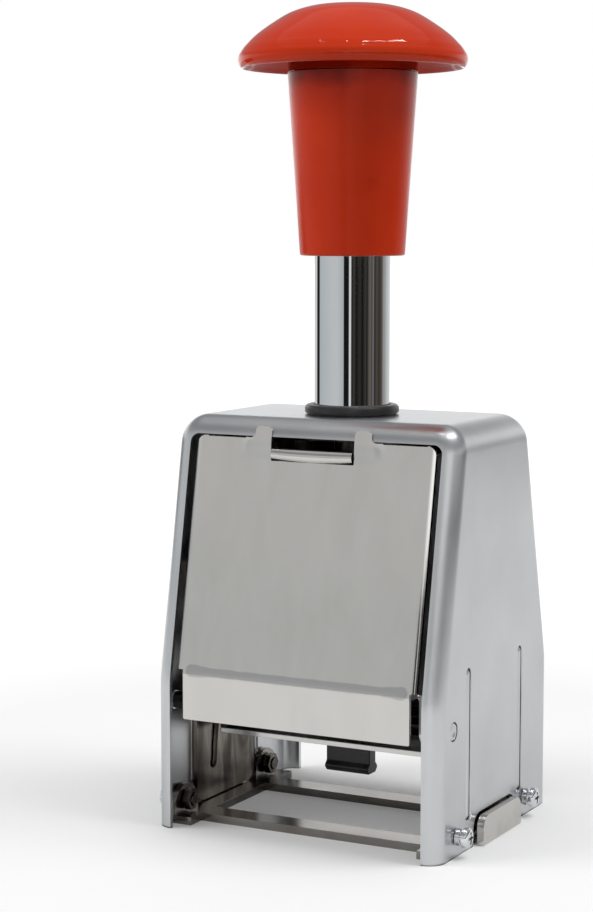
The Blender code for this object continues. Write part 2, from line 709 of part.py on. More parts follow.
def cam_heading(share):
    """Direction of the cam path, in degrees from +Y."""
    turn = math.pi * share
    across = -math.pi * CRANK_REACH * math.sin(turn)
    down = math.pi * CRANK_REACH * math.cos(turn) - STROKE
    return math.degrees(math.atan2(down, across))


def slot_outline():
    """The cam slot: the pin's path widened to both sides, with round ends."""
    half = CAM_SLOT / 2
    shares = [step / CAM_STEPS for step in range(CAM_STEPS + 1)]
    left = [arc(cam_point(share), half, cam_heading(share) + 90, 0, 1)[0] for share in shares]
    right = [arc(cam_point(share), half, cam_heading(share) - 90, 0, 1)[0] for share in reversed(shares)]
    foot = arc(cam_point(1), half, cam_heading(1) + 90, cam_heading(1) - 90)[1:-1]
    head = arc(cam_point(0), half, cam_heading(0) - 90, cam_heading(0) - 270)[1:-1]
    return left + foot + right + head


def build_cam_plates(steel):
    """A plate beside each wall, whose slot turns the number unit over as the plunger goes down."""
    low = (FRONT_SCREW_Y + EAR_RADIUS + GAP, BASE_SHEET + GAP)
    high = (REAR_SCREW_Y - EAR_RADIUS - GAP, AXLE_Z + CAM_HEAD)
    for side, name in ((-1, "cam_plate_left"), (1, "cam_plate_right")):
        inner, outer = sorted((side * CAM_IN, side * CAM_OUT))
        plate = piece(name, prism(round_box(low, high, CAM_HEAD / 2), "X", inner, outer), steel)
        slot = prism(slot_outline(), "X", inner - OVERRUN, outer + OVERRUN)
        work(plate, "DIFFERENCE", f"{name}_slot", slot)


def bridge_outline():
    """The bridge's plate from above, with a notch on each side for the yoke's arm."""
    notch = ARM_WIDTH / 2 + RUN_GAP
    end = notch + BRIDGE_EAR - SEAM
    wide = WALL_IN - GAP - SEAM
    half = [(wide, -end), (wide, -notch), (UNIT_OUT, -notch), (UNIT_OUT, notch), (wide, notch), (wide, end)]
    return half + [(-x, y) for x, y in reversed(half)]


def rail_outline():
    """A rail under the bridge, whose lip carries the cassette's flange."""
    root = BRIDGE_Z + BRIDGE_SHEET / 2
    lip = CASSETTE_TOP - CASSETTE_FLANGE_THICK - GAP
    inner = TRAY_HALF + GAP
    foot = lip - RAIL_SHEET
    outline = [(RAIL_OUT, root), (RAIL_IN, root), (RAIL_IN, lip)]
    return outline + [(inner, lip), (inner, foot), (RAIL_OUT, foot)]


def build_pad_bridge(steel):
    """The cross plate that joins the walls, carries the guide post and holds the cassette's rails."""
    place = (0, PLUNGER_Y, 0)
    bridge = piece("pad_bridge", prism(bridge_outline(), "Z", BRIDGE_Z, BRIDGE_TOP), steel, place=place)
    notch = ARM_WIDTH / 2 + RUN_GAP
    ears = bmesh.new()
    for low, high in ((-notch - BRIDGE_EAR, -notch), (notch, notch + BRIDGE_EAR)):
        outline = box((low, BRIDGE_Z - BRIDGE_EAR_DROP), (high, BRIDGE_TOP - SEAM))
        add_prism(ears, outline, "X", WALL_IN - GAP - BRIDGE_EAR_THICK, WALL_IN - GAP)
        add_prism(ears, outline, "X", GAP - WALL_IN, GAP + BRIDGE_EAR_THICK - WALL_IN)
    work(bridge, "UNION", "bridge_ears", ears)
    length = notch + BRIDGE_EAR - RUN_GAP
    rails = prism(rail_outline(), "Y", -length, length)
    add_prism(rails, [(-x, z) for x, z in rail_outline()], "Y", -length, length)
    work(bridge, "UNION", "bridge_rails", rails)
    hole = rod(POST_TENON_RADIUS + BORE_GAP, BRIDGE_Z - OVERRUN, BRIDGE_TOP + OVERRUN)
    work(bridge, "DIFFERENCE", "bridge_hole", turned(hole, steps=SMALL_STEPS))


def build_guide_post(steel):
    """The post on the bridge that the yoke slides on, with the collar that the spring stands on."""
    seat = BRIDGE_TOP + GAP
    profile = [(0, BRIDGE_Z), (POST_TENON_RADIUS, BRIDGE_Z), (POST_TENON_RADIUS, seat), (POST_RADIUS, seat)]
    profile += [(POST_RADIUS, POST_TOP), (POST_COLLAR_RADIUS, POST_TOP), (POST_COLLAR_RADIUS, COLLAR_TOP)]
    profile += [(POST_ROD_RADIUS, COLLAR_TOP), (POST_ROD_RADIUS, COLLAR_TOP + POST_ROD_LENGTH)]
    profile += [(0, COLLAR_TOP + POST_ROD_LENGTH)]
    piece("guide_post", turned(profile, steps=SMALL_STEPS), steel, place=(0, PLUNGER_Y, 0))


def build_collar_bush(black):
    """The flanged bush that guides the tube through the top of the housing."""
    seat = BODY_HEIGHT + GAP
    top = seat + BUSH_FLANGE_THICK
    foot = BODY_HEIGHT - BUSH_DROP
    sleeve = BUSH_BORE + BUSH_WALL
    profile = [(BUSH_BORE, foot), (sleeve, foot), (sleeve, seat), (BUSH_FLANGE, seat)]
    profile += arc((BUSH_FLANGE - BUSH_ROUND, top - BUSH_ROUND), BUSH_ROUND, 0, 90, 3)
    profile += [(BUSH_BORE, top), (BUSH_BORE, foot)]
    piece("collar_bush", turned(profile, steps=LARGE_STEPS), black, place=(0, PLUNGER_Y, 0))


def build_ink_cassette(black, felt, track):
    """The tray that slides out of the back, and the pad let into its underside."""
    step = CASSETTE_HEIGHT - CASSETTE_FLANGE_THICK
    side = [(TRAY_HALF, 0), (TRAY_HALF, step)]
    side += [(CASSETTE_HALF, step), (CASSETTE_HALF, CASSETTE_HEIGHT)]
    outline = side + [(-x, z) for x, z in reversed(side)]
    tray = piece("ink_cassette", prism(outline, "Y", -CASSETTE_FRONT, CASSETTE_REAR), black, track)
    reach = (PAD_WIDTH / 2 + GAP, PAD_DEPTH / 2 + GAP)
    recess = round_box((-reach[0], -reach[1]), reach, PAD_ROUND)
    depth = PAD_THICK - PAD_PROUD + GAP
    work(tray, "DIFFERENCE", "cassette_recess", prism(recess, "Z", -OVERRUN, depth))
    outline = round_box((-PAD_WIDTH / 2, -PAD_DEPTH / 2), (PAD_WIDTH / 2, PAD_DEPTH / 2), PAD_ROUND)
    piece("ink_pad", prism(outline, "Z", -PAD_PROUD, PAD_THICK - PAD_PROUD), felt, track)


def build_yoke(steel, plunger):
    """The forked carrier under the tube that holds the number unit's axle between its arms."""
    half = ARM_WIDTH / 2
    plate = box((SEAM - ARM_OUT, YOKE_TOP - YOKE_SHEET), (ARM_OUT - SEAM, YOKE_TOP))
    yoke = piece("carriage_yoke", prism(plate, "Y", SEAM - half, half - SEAM), steel, plunger)
    arm = [(half, YOKE_TOP - SEAM), (-half, YOKE_TOP - SEAM), (-half, AXLE_Z + half)]
    arm += arc((0, AXLE_Z), ARM_EYE, 180, 360, SMALL_STEPS // 2)
    arm += [(half, AXLE_Z + half)]
    work(yoke, "UNION", "yoke_arms", pair_of_prisms(arm, ARM_IN, ARM_OUT))
    post_hole = rod(POST_RADIUS + GAP, YOKE_TOP - YOKE_SHEET - OVERRUN, YOKE_TOP + OVERRUN)
    holes = turned(post_hole, steps=SMALL_STEPS)
    axle_hole = rod(AXLE_HOLE, -ARM_OUT - OVERRUN, ARM_OUT + OVERRUN)
    add_turned(holes, axle_hole, "X", (0, 0, AXLE_Z), SMALL_STEPS)
    work(yoke, "DIFFERENCE", "yoke_holes", holes)


def build_tube(chrome, steel, plunger):
    """The plated tube, the plug in its head and the screw that pulls grip and knob onto it."""
    tube = turned(ring(TUBE_BORE, TUBE_RADIUS, TUBE_FOOT, TUBE_TOP))
    piece("plunger_tube", tube, chrome, plunger)
    plug = turned(ring(KNOB_SCREW_RADIUS + BORE_GAP, TUBE_BORE - BORE_GAP, PLUG_Z, TUBE_TOP))
    piece("tube_plug", plug, steel, plunger)
    head = PLUG_Z - GAP
    end = KNOB_Z + KNOB_SCREW_BITE
    profile = [(0, head - KNOB_SCREW_HEAD_THICK), (KNOB_SCREW_HEAD, head - KNOB_SCREW_HEAD_THICK)]
    profile += [(KNOB_SCREW_HEAD, head), (KNOB_SCREW_RADIUS, head), (KNOB_SCREW_RADIUS, end), (0, end)]
    piece("knob_screw", turned(profile, steps=SMALL_STEPS), steel, plunger)


def build_grip(red, plunger):
    """The tapered sleeve over the tube."""
    bore = TUBE_RADIUS + GAP
    hole = KNOB_SCREW_RADIUS + BORE_GAP
    floor = TUBE_TOP + GAP
    profile = [(bore, GRIP_Z)]
    profile += arc((GRIP_FOOT_RADIUS - GRIP_ROUND, GRIP_Z + GRIP_ROUND), GRIP_ROUND, -90, 0, 2)
    profile += arc((GRIP_HEAD_RADIUS - GRIP_ROUND, GRIP_TOP - GRIP_ROUND), GRIP_ROUND, 0, 90, 2)
    profile += [(hole, GRIP_TOP), (hole, floor), (bore, floor), (bore, GRIP_Z)]
    piece("grip_sleeve", turned(profile, steps=LARGE_STEPS), red, plunger)


def build_knob(red, plunger):
    """The palm knob: a shallow dome with a rolled rim, a hollow underside and a boss over the grip."""
    profile = [(KNOB_RADIUS * out, KNOB_Z + KNOB_HEIGHT * up) for out, up in DOME_SHARES]
    under = [(KNOB_RADIUS * out, KNOB_Z + KNOB_HEIGHT * up) for out, up in UNDERSIDE_SHARES]
    boss = GRIP_HEAD_RADIUS - KNOB_BOSS_STEP
    hole = KNOB_SCREW_RADIUS + BORE_GAP
    roof = KNOB_Z + KNOB_SCREW_BITE + GAP
    profile += under + [(boss, under[-1][1]), (boss, KNOB_Z), (hole, KNOB_Z), (hole, roof), (0, roof)]
    piece("knob_cap", turned(profile, steps=LARGE_STEPS), red, plunger)


def spring_points():
    """The helix of the return spring, from the post's collar to the tube's plug."""
    low = COLLAR_TOP + GAP + SPRING_WIRE / 2
    rise = PLUG_Z - GAP - SPRING_WIRE / 2 - low
    count = SPRING_CURLS * CURL_POINTS
    points = []
    for step in range(count + 1):
        turn = math.tau * step / CURL_POINTS
        across = SPRING_RADIUS * math.cos(turn)
        back = SPRING_RADIUS * math.sin(turn)
        points.append(Vector((across, back, low + rise * step / count)))
    return points


def print_spring_gap(points):
    """Prints the least gap between one curl and the next, measured on the points."""
    gaps = []
    for step in range(CURL_POINTS - 2, CURL_POINTS + 3):
        gaps += [(later - point).length for point, later in zip(points, points[step:])]
    print(f"return_spring: least gap to itself {1000 * (min(gaps) - SPRING_WIRE):.2f} mm")


def build_spring(steel):
    """The coiled wire that lifts the plunger."""
    points = spring_points()
    print_spring_gap(points)
    curve = bpy.data.curves.new("return_spring", "CURVE")
    curve.dimensions = "3D"
    spline = curve.splines.new("POLY")
    spline.points.add(len(points) - 1)
    for slot, point in zip(spline.points, points):
        slot.co = (*point, 1)
    curve.bevel_depth = SPRING_WIRE / 2
    curve.bevel_resolution = 1
    curve.use_fill_caps = True
    curve.materials.append(steel)
    spring = bpy.data.objects.new("return_spring", curve)
    bpy.context.scene.collection.objects.link(spring)
    spring.location = (0, PLUNGER_Y, 0)


def build_unit_frame(steel, unit):
    """The U-shaped frame of the number unit, with the slot of the repeat selector in its plate."""
    half = UNIT_DEPTH / 2
    low = -UNIT_DROP
    plate = box((SEAM - UNIT_OUT, low), (UNIT_OUT - SEAM, low + UNIT_PLATE))
    frame = piece("unit_frame", prism(plate, "Y", SEAM - half, half - SEAM), steel, unit)
    side = round_topped((-half, low + SEAM), (half, UNIT_HEAD), min(half, UNIT_HEAD))
    work(frame, "UNION", "unit_sides", pair_of_prisms(side, UNIT_IN, UNIT_OUT))
    reach = (SELECTOR_WIDTH + SELECTOR_TRAVEL) / 2 + GAP
    slot = box((-reach, -SELECTOR_STEM / 2 - BORE_GAP), (reach, SELECTOR_STEM / 2 + BORE_GAP))
    cuts = prism(slot, "Z", low - OVERRUN, low + UNIT_PLATE + OVERRUN)
    add_turned(cuts, rod(AXLE_HOLE, -UNIT_OUT - OVERRUN, UNIT_OUT + OVERRUN), "X", (0, 0, 0), SMALL_STEPS)
    work(frame, "DIFFERENCE", "unit_cuts", cuts)


def link_outline(reach, eye, tip):
    """Two rounds of unlike radius, one at the centre and one out along +Y, joined by straight flanks."""
    lean = math.degrees(math.acos((eye - tip) / reach))
    outline = arc((0, 0), eye, lean, 360 - lean, SMALL_STEPS // 2)
    return outline + arc((reach, 0), tip, -lean, lean, SMALL_STEPS // 2)


def build_cranks(steel, unit):
    """A crank on each end of the axle, whose pin runs in the cam slot."""
    for side, name in ((-1, "crank_left"), (1, "crank_right")):
        low, high = sorted((side * CRANK_IN, side * CRANK_OUT))
        outline = link_outline(CRANK_REACH, CRANK_EYE, CRANK_TIP)
        crank = piece(name, prism(outline, "X", low, high), steel, unit)
        pin_low, pin_high = sorted((side * (CRANK_IN + CRANK_THICK / 2), side * CAM_OUT))
        pin = turned(rod(CRANK_PIN_RADIUS, pin_low, pin_high), "X", (0, CRANK_REACH, 0), SMALL_STEPS)
        work(crank, "UNION", f"{name}_pin", pin)
        hole = rod(AXLE_HOLE, low - OVERRUN, high + OVERRUN)
        work(crank, "DIFFERENCE", f"{name}_hole", turned(hole, "X", (0, 0, 0), SMALL_STEPS))


def build_axle(steel, unit):
    """The axle through the yoke, the number unit and the wheels, with a spacer on each side of them."""
    piece("unit_axle", turned(rod(AXLE_RADIUS, -CRANK_OUT, CRANK_OUT), "X", steps=SMALL_STEPS), steel, unit)
    for side, name in ((-1, "wheel_spacer_left"), (1, "wheel_spacer_right")):
        low, high = sorted((side * (WHEELS_OUT + GAP), side * (BRACKET_IN - GAP)))
        piece(name, turned(ring(AXLE_HOLE, SPACER_RADIUS, low, high), "X", steps=SMALL_STEPS), steel, unit)


def wheel_outline():
    """A number wheel from the side: ten raised type faces with a valley between each two."""
    face = math.degrees(math.asin(DIGIT_WIDTH / 2 / WHEEL_RADIUS))
    pitch = 360 / DIGIT_COUNT
    valley = (pitch / 2 + face) / 2
    outline = []
    for digit in range(DIGIT_COUNT):
        middle = 90 + pitch * digit
        outline += arc((0, 0), WHEEL_RADIUS - DIGIT_HEIGHT, middle - valley, middle, 1)[:1]
        outline += arc((0, 0), WHEEL_RADIUS, middle - face, middle + face, 1)
        outline += arc((0, 0), WHEEL_RADIUS - DIGIT_HEIGHT, middle + valley, middle, 1)[:1]
    return outline


def build_wheels(brass, unit):
    """The number wheels, side by side on the axle."""
    for index in range(WHEEL_COUNT):
        low = index * WHEEL_PITCH - WHEELS_OUT + GAP / 2
        wheel = ring_prism(wheel_outline(), AXLE_HOLE, low, low + WHEEL_PITCH - GAP)
        piece(f"number_wheel_{index + 1}", wheel, brass, unit)


def tilted(outline):
    """An outline drawn straight below the axle, swung to where the pawl bracket rests."""
    cosine, sine = math.cos(PAWL_REST_TILT), math.sin(PAWL_REST_TILT)
    return [(y * cosine - z * sine, y * sine + z * cosine) for y, z in outline]


def build_pawl_bracket(steel, unit):
    """The bail that rocks on the axle and carries the pawl."""
    half = BRACKET_WIDTH / 2
    plate = box((SEAM - half, -BRACKET_REACH - BRACKET_PLATE), (half - SEAM, -BRACKET_REACH))
    width = BRACKET_OUT - SEAM
    bracket = piece("pawl_bracket", prism(tilted(plate), "X", -width, width), steel, unit)
    foot = -BRACKET_REACH - BRACKET_PLATE / 2
    arm = arc((0, 0), BRACKET_EYE, 0, 180, SMALL_STEPS // 2) + [(-half, foot), (half, foot)]
    work(bracket, "UNION", "bracket_arms", pair_of_prisms(tilted(arm), BRACKET_IN, BRACKET_OUT))
    reach = BRACKET_OUT + OVERRUN
    holes = turned(rod(AXLE_HOLE, -reach, reach), "X", (0, 0, 0), SMALL_STEPS)
    add_turned(holes, rod(PAWL_PIN_RADIUS + BORE_GAP, -reach, reach), "X", (0, PAWL_Y, PAWL_Z), SMALL_STEPS)
    work(bracket, "DIFFERENCE", "bracket_holes", holes)


def build_pawl(steel, unit):
    """The pawl with one finger for each wheel, and the pin that it hangs on."""
    bore = PAWL_PIN_RADIUS + BORE_GAP
    end = BRACKET_IN - GAP
    barrel = turned(ring(bore, PAWL_BARREL, -end, end), "X", (0, PAWL_Y, PAWL_Z), SMALL_STEPS)
    pawl = piece("advance_pawl", barrel, steel, unit)
    root = -PAWL_REACH + (PAWL_BARREL + bore) / 2
    finger = box((-FINGER_THICK / 2, root), (FINGER_THICK / 2, -WHEEL_RADIUS - GAP))
    work(pawl, "UNION", "pawl_fingers", finger_row(tilted(finger)))
    pin = turned(rod(PAWL_PIN_RADIUS, -BRACKET_OUT, BRACKET_OUT), "X", (0, PAWL_Y, PAWL_Z), SMALL_STEPS)
    piece("pawl_pin", pin, steel, unit)


def finger_row(outline):
    """The same finger in the middle of each wheel."""
    shape = bmesh.new()
    half = WHEEL_PITCH * FINGER_SHARE / 2
    for index in range(WHEEL_COUNT):
        middle = WHEEL_PITCH / 2 + index * WHEEL_PITCH - WHEELS_OUT
        add_prism(shape, outline, "X", middle - half, middle + half)
    return shape


def build_detent_comb(steel, unit):
    """The leaf comb on the frame's plate that holds each wheel at its digit."""
    low = GAP + UNIT_PLATE - UNIT_DROP
    end = UNIT_IN - GAP
    strip = box((COMB_FRONT_Y, low), (COMB_REAR_Y, low + COMB_SHEET))
    comb = piece("detent_comb", prism(strip, "X", -end, end), steel, unit)
    tip_reach = WHEEL_RADIUS + GAP
    tip = (tip_reach * math.sin(COMB_TIP_TILT), -tip_reach * math.cos(COMB_TIP_TILT))
    knee = (low + tip[1]) / 2
    inner = COMB_REAR_Y - SEAM - COMB_SHEET
    outline = [(COMB_REAR_Y - SEAM, low + SEAM), (COMB_REAR_Y - SEAM, knee), (tip[0] + COMB_SHEET, tip[1])]
    outline += [(tip[0], tip[1] - COMB_SHEET / 2), (inner, knee - COMB_SHEET / 2), (inner, low + SEAM)]
    work(comb, "UNION", "comb_fingers", finger_row(outline))


def build_selector(black, unit):
    """The slide under the unit that sets how often each number repeats."""
    top = -UNIT_DROP - GAP
    foot = top - SELECTOR_DROP
    head = GAP + UNIT_PLATE - UNIT_DROP
    body = SELECTOR_DEPTH / 2
    lip = body + SELECTOR_LIP
    side = [(body, foot), (lip, foot + SELECTOR_LIP), (lip, foot + SELECTOR_LIP_HEIGHT - SELECTOR_LIP)]
    side += [(body, foot + SELECTOR_LIP_HEIGHT), (body, top)]
    side += [(SELECTOR_STEM / 2, top), (SELECTOR_STEM / 2, head)]
    side += [(SELECTOR_HEAD_DEPTH / 2, head), (SELECTOR_HEAD_DEPTH / 2, head + SELECTOR_HEAD_THICK)]
    outline = side + [(-y, z) for y, z in reversed(side)]
    piece("repeat_selector", prism(outline, "X", -SELECTOR_WIDTH / 2, SELECTOR_WIDTH / 2), black, unit)


def build_machine():
    """Makes every piece with its finish, from the housing inward."""
    satin = finish("satin_nickel", (0.60, 0.62, 0.64), 0.32, 1)
    polished = finish("polished_nickel", (0.66, 0.65, 0.63), 0.12, 1)
    chrome = finish("chrome_plate", (0.80, 0.82, 0.84), 0.06, 1)
    blackened = finish("blackened_steel", (0.10, 0.095, 0.09), 0.35, 1)
    black = finish("black_plastic", (0.016, 0.015, 0.018), 0.4, 0)
    red = finish("red_plastic", (0.52, 0.045, 0.018), 0.22, 0)
    felt = finish("inked_felt", (0.02, 0.02, 0.03), 0.9, 0)
    brass = finish("type_brass", (0.55, 0.42, 0.20), 0.35, 1)
    build_housing(satin)
    hinge = pivot("cover_hinge_axis", (0, PIN_Y, PIN_Z))
    build_front_cover(polished, hinge)
    build_rear_cover(polished)
    build_cover_pins(chrome)
    build_base_frame(polished)
    build_base_screws(chrome)
    build_cam_plates(blackened)
    build_pad_bridge(blackened)
    build_guide_post(blackened)
    build_collar_bush(black)
    track = pivot("cassette_track", (0, PLUNGER_Y, CASSETTE_Z))
    build_ink_cassette(black, felt, track)
    plunger = pivot("plunger_axis", (0, PLUNGER_Y, 0))
    build_yoke(blackened, plunger)
    build_tube(chrome, blackened, plunger)
    build_grip(red, plunger)
    build_knob(red, plunger)
    build_spring(chrome)
    unit = pivot("unit_axis", (0, 0, AXLE_Z), plunger)
    build_unit_frame(polished, unit)
    build_cranks(blackened, unit)
    build_axle(chrome, unit)
    build_wheels(brass, unit)
    build_pawl_bracket(blackened, unit)
    build_pawl(blackened, unit)
    build_detent_comb(polished, unit)
    build_selector(black, unit)


clear_scene()
build_machine()
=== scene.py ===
"""A self-inking numbering machine in satin nickel, with a red palm knob, on a pale floor.

Metres, +Z up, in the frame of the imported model. The sections follow the machine as it is put together.
"""

import math

import bmesh
import bpy
import numpy as np
from mathutils import Euler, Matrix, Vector


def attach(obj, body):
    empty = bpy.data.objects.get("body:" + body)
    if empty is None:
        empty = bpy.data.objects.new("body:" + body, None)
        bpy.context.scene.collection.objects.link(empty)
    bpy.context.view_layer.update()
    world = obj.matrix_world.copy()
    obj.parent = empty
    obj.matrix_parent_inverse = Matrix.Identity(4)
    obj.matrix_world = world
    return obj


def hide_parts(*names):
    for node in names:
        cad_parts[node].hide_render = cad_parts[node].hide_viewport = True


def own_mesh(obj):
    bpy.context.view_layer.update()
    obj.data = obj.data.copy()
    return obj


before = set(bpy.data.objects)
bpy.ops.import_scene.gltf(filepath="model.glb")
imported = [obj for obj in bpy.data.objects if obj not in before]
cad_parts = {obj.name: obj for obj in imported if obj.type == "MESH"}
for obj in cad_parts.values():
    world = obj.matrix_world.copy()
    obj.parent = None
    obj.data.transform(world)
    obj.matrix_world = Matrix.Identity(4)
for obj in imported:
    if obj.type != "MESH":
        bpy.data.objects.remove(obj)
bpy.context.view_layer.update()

# Camera
# A long lens looks slightly down on the machine, from a little above its middle and well to its right,
# which is the photograph's viewing angle.
CAMERA_PLACE = (0.21608, -0.43473, 0.13266)
CAMERA_YAW = math.radians(28.01)
CAMERA_DIP = math.radians(6.05)
CAMERA_LENS = 86.56
SENSOR = 36


def in_scene(name, data):
    """A new object of the scene that shows the given data."""
    made = bpy.data.objects.new(name, data)
    bpy.context.scene.collection.objects.link(made)
    return made


camera = in_scene("camera", bpy.data.cameras.new("camera"))
camera.data.lens = CAMERA_LENS
camera.data.sensor_width = SENSOR
camera.location = CAMERA_PLACE
camera.rotation_euler = Euler((math.pi / 2 - CAMERA_DIP, 0, CAMERA_YAW))
bpy.context.scene.camera = camera
bpy.context.scene.view_settings.view_transform = "Standard"

# Housing shell
# The shell is one strip of sheet steel bent into a tall inverted U, its front and rear edges rolled
# inward. It is plated with nickel and left satin, and each side has two pressed lines near the foot.
SHELL_WIDTH = 0.0686
SHELL_HEIGHT = 0.09085
SHELL_DEPTH = 0.0615
SHELL_WALL = 0.001
SHELL_SHOULDER = 0.006
SHELL_EDGE = 0.004
LEAN = {-1: 0.01067, 1: 0.01327}
KINK = {-1: 0.0333, 1: 0.0347}
KINK_SOFTNESS = 0.0008
GROOVE_PLACES = (-0.0154, 0.0129)
GROOVE_FOOT = 0.0068
GROOVE_HEAD = 0.039
GROOVE_HALF = 0.00085
GROOVE_LINE = 0.0003
GROOVE_DEPTH = 0.00045
GROOVE_MARGIN = 0.002
GROOVE_SHARE = 0.045
DARK_FOOT = (0.0001, 0.0006)
INNER_SHADE_FADE = 0.0004
ROLL_STEPS = 14
SMOOTH_ANGLE = math.radians(34)
WELD = 0.0000005


def rim(side, height):
    """Where the front (side -1) or rear (side 1) edge lies: straight up to the kink, then leaning in.

    The lean starts along softness * log(1 + exp(rise / softness)), which rounds the kink."""
    slope = LEAN[side] / (SHELL_HEIGHT - KINK[side])
    rise = np.logaddexp(0, (np.asarray(height) - KINK[side]) / KINK_SOFTNESS) * KINK_SOFTNESS
    return side * (SHELL_DEPTH / 2 - slope * rise)


def quads(rows, columns, wrap_rows, wrap_columns):
    """The four corners' numbers of every cell of a grid of points, row by row."""
    row = np.arange(rows if wrap_rows else rows - 1)
    column = np.arange(columns if wrap_columns else columns - 1)
    row, column = np.meshgrid(row, column, indexing="ij")
    next_row, next_column = (row + 1) % rows, (column + 1) % columns
    corners = [(row, column), (next_row, column), (next_row, next_column), (row, next_column)]
    return np.stack([r * columns + c for r, c in corners], axis=-1).reshape(-1, 4)


def pressed(name, grids, capped=False):
    """One mesh object from grids of points, each given as (points, wraps by row, wraps by column).

    Double points are merged, open ends are filled where capped is set, and all faces point out."""
    points, faces, start = [], [], 0
    for grid, wrap_rows, wrap_columns in grids:
        rows, columns = grid.shape[:2]
        points.append(grid.reshape(-1, 3))
        faces.append(quads(rows, columns, wrap_rows, wrap_columns) + start)
        start += rows * columns
    mesh = bpy.data.meshes.new(name)
    mesh.from_pydata(np.concatenate(points), [], np.concatenate(faces))
    shape = bmesh.new()
    shape.from_mesh(mesh)
    bmesh.ops.remove_doubles(shape, verts=shape.verts, dist=WELD)
    if capped:
        bmesh.ops.holes_fill(shape, edges=[edge for edge in shape.edges if edge.is_boundary])
    bmesh.ops.recalc_face_normals(shape, faces=shape.faces)
    shape.to_mesh(mesh)
    shape.free()
    return in_scene(name, mesh)


def walled(outer, inner):
    """The closed skin of a sheet: its two faces, and the four strips between their borders."""
    strips = [np.stack([outer[end], inner[end]]) for end in (0, -1)]
    strips += [np.stack([outer[:, end], inner[:, end]]) for end in (0, -1)]
    return [(grid, False, False) for grid in (outer, inner, *strips)]


def grid_of(*parts):
    """One grid of points from its X, Y and Z parts, which may be grids, rows, columns or numbers."""
    return np.stack(np.broadcast_arrays(*parts), axis=-1)


def across(axis, first, second, along):
    """Points with a first and a second measure across an axis, in X, Y, Z order, and one along it."""
    parts = [first, second]
    parts.insert("XYZ".index(axis), along)
    return grid_of(*parts)


def turned(outline, axis="Z", centre=(0, 0, 0), steps=96):
    """A closed (radius, height) outline spun round an axis: radius * cos, radius * sin, height."""
    angle = np.linspace(0, math.tau, steps, endpoint=False)[:, None]
    radius, height = np.asarray(outline, float).T[:, None]
    spun = across(axis, radius * np.cos(angle), radius * np.sin(angle), height)
    return (spun + np.array(centre), True, True)


def drawn(outline, axis, low, high):
    """An outline across an axis, carried along it from low to high. Its two ends stay open."""
    first, second = np.asarray(outline, float).T[:, None]
    along = np.array([[low], [high]])
    return (across(axis, first, second, along), False, True)


def filleted(corners, radii, steps=7):
    """A closed outline of straight sides whose corners are arcs, tangent to both sides.

    An arc starts radius / tan(half the corner's angle) from the corner. Each of its points blends the
    first and last spoke by sin((1 - t) * turn) and sin(t * turn), so all lie on the arc."""
    corners = np.asarray(corners, float)
    before = np.roll(corners, 1, 0) - corners
    after = np.roll(corners, -1, 0) - corners
    before /= np.linalg.norm(before, axis=1, keepdims=True)
    after /= np.linalg.norm(after, axis=1, keepdims=True)
    radii = np.broadcast_to(radii, len(corners))[:, None]
    half = np.arccos(np.clip((before * after).sum(1), -1, 1))[:, None] / 2
    middle = (before + after) / np.linalg.norm(before + after, axis=1, keepdims=True)
    centre = corners + middle * radii / np.sin(half)
    first = corners + before * radii / np.tan(half) - centre
    last = corners + after * radii / np.tan(half) - centre
    share = np.linspace(0, 1, steps)[None, :, None]
    turn = (math.pi - 2 * half)[:, None]
    spokes = np.sin((1 - share) * turn) * first[:, None] + np.sin(share * turn) * last[:, None]
    outline = (centre[:, None] + spokes / np.sin(turn)).reshape(-1, 2)
    fresh = np.linalg.norm(outline - np.roll(outline, 1, 0), axis=1) > WELD
    return outline[fresh]


def rectangle(low, high):
    """The four corners of a box, from its lowest corner round."""
    return [low, (high[0], low[1]), high, (low[0], high[1])]


def worked(blank, tools, way="DIFFERENCE"):
    """The blank with each tool's shape cut out of it, or kept to it, and the tools put away."""
    for tool in tools:
        modifier = blank.modifiers.new(tool.name, "BOOLEAN")
        modifier.operation = way
        modifier.object = tool
    graph = bpy.context.evaluated_depsgraph_get()
    mesh = bpy.data.meshes.new_from_object(blank.evaluated_get(graph))
    blank.modifiers.clear()
    blank.data = mesh
    for tool in tools:
        bpy.data.objects.remove(tool)
    return blank


class Socket:
    """A shader value on which Python's operators add Math nodes."""

    def __init__(self, finish, link):
        self.finish = finish
        self.link = link

    def math(self, operation, *values):
        return self.finish.node("ShaderNodeMath", {"operation": operation}, dict(enumerate(values)))

    def __add__(self, other):
        return self.math("ADD", self, other)

    def __sub__(self, other):
        return self.math("SUBTRACT", self, other)

    def __rsub__(self, other):
        return self.math("SUBTRACT", other, self)

    def __mul__(self, other):
        return self.math("MULTIPLY", self, other)

    def __pow__(self, other):
        return self.math("POWER", self, other)

    def distance(self, other):
        return self.math("ABSOLUTE", self - other)

    def larger(self, other):
        return self.math("MAXIMUM", self, other)

    def smaller(self, other):
        return self.math("MINIMUM", self, other)

    __radd__ = __add__
    __rmul__ = __mul__


class Finish:
    """A node tree that is being laid out, with one method that adds any node."""

    def __init__(self, tree):
        self.tree = tree

    def node(self, kind, settings=None, sockets=None, output=0):
        """Adds a node, sets it up, fills its sockets with values or links, and gives one output."""
        made = self.tree.nodes.new(kind)
        for name, value in (settings or {}).items():
            if name == "stops":
                self.stops(made.color_ramp, value)
            else:
                setattr(made, name, value)
        self.fill(made, sockets or {})
        return Socket(self, made.outputs[output])

    def fill(self, node, sockets):
        for name, value in sockets.items():
            if isinstance(value, Socket):
                self.tree.links.new(value.link, node.inputs[name])
            else:
                node.inputs[name].default_value = value

    def stops(self, ramp, stops):
        while len(ramp.elements) < len(stops):
            ramp.elements.new(1)
        for element, (place, colour) in zip(ramp.elements, stops):
            element.position = place
            element.color = colour


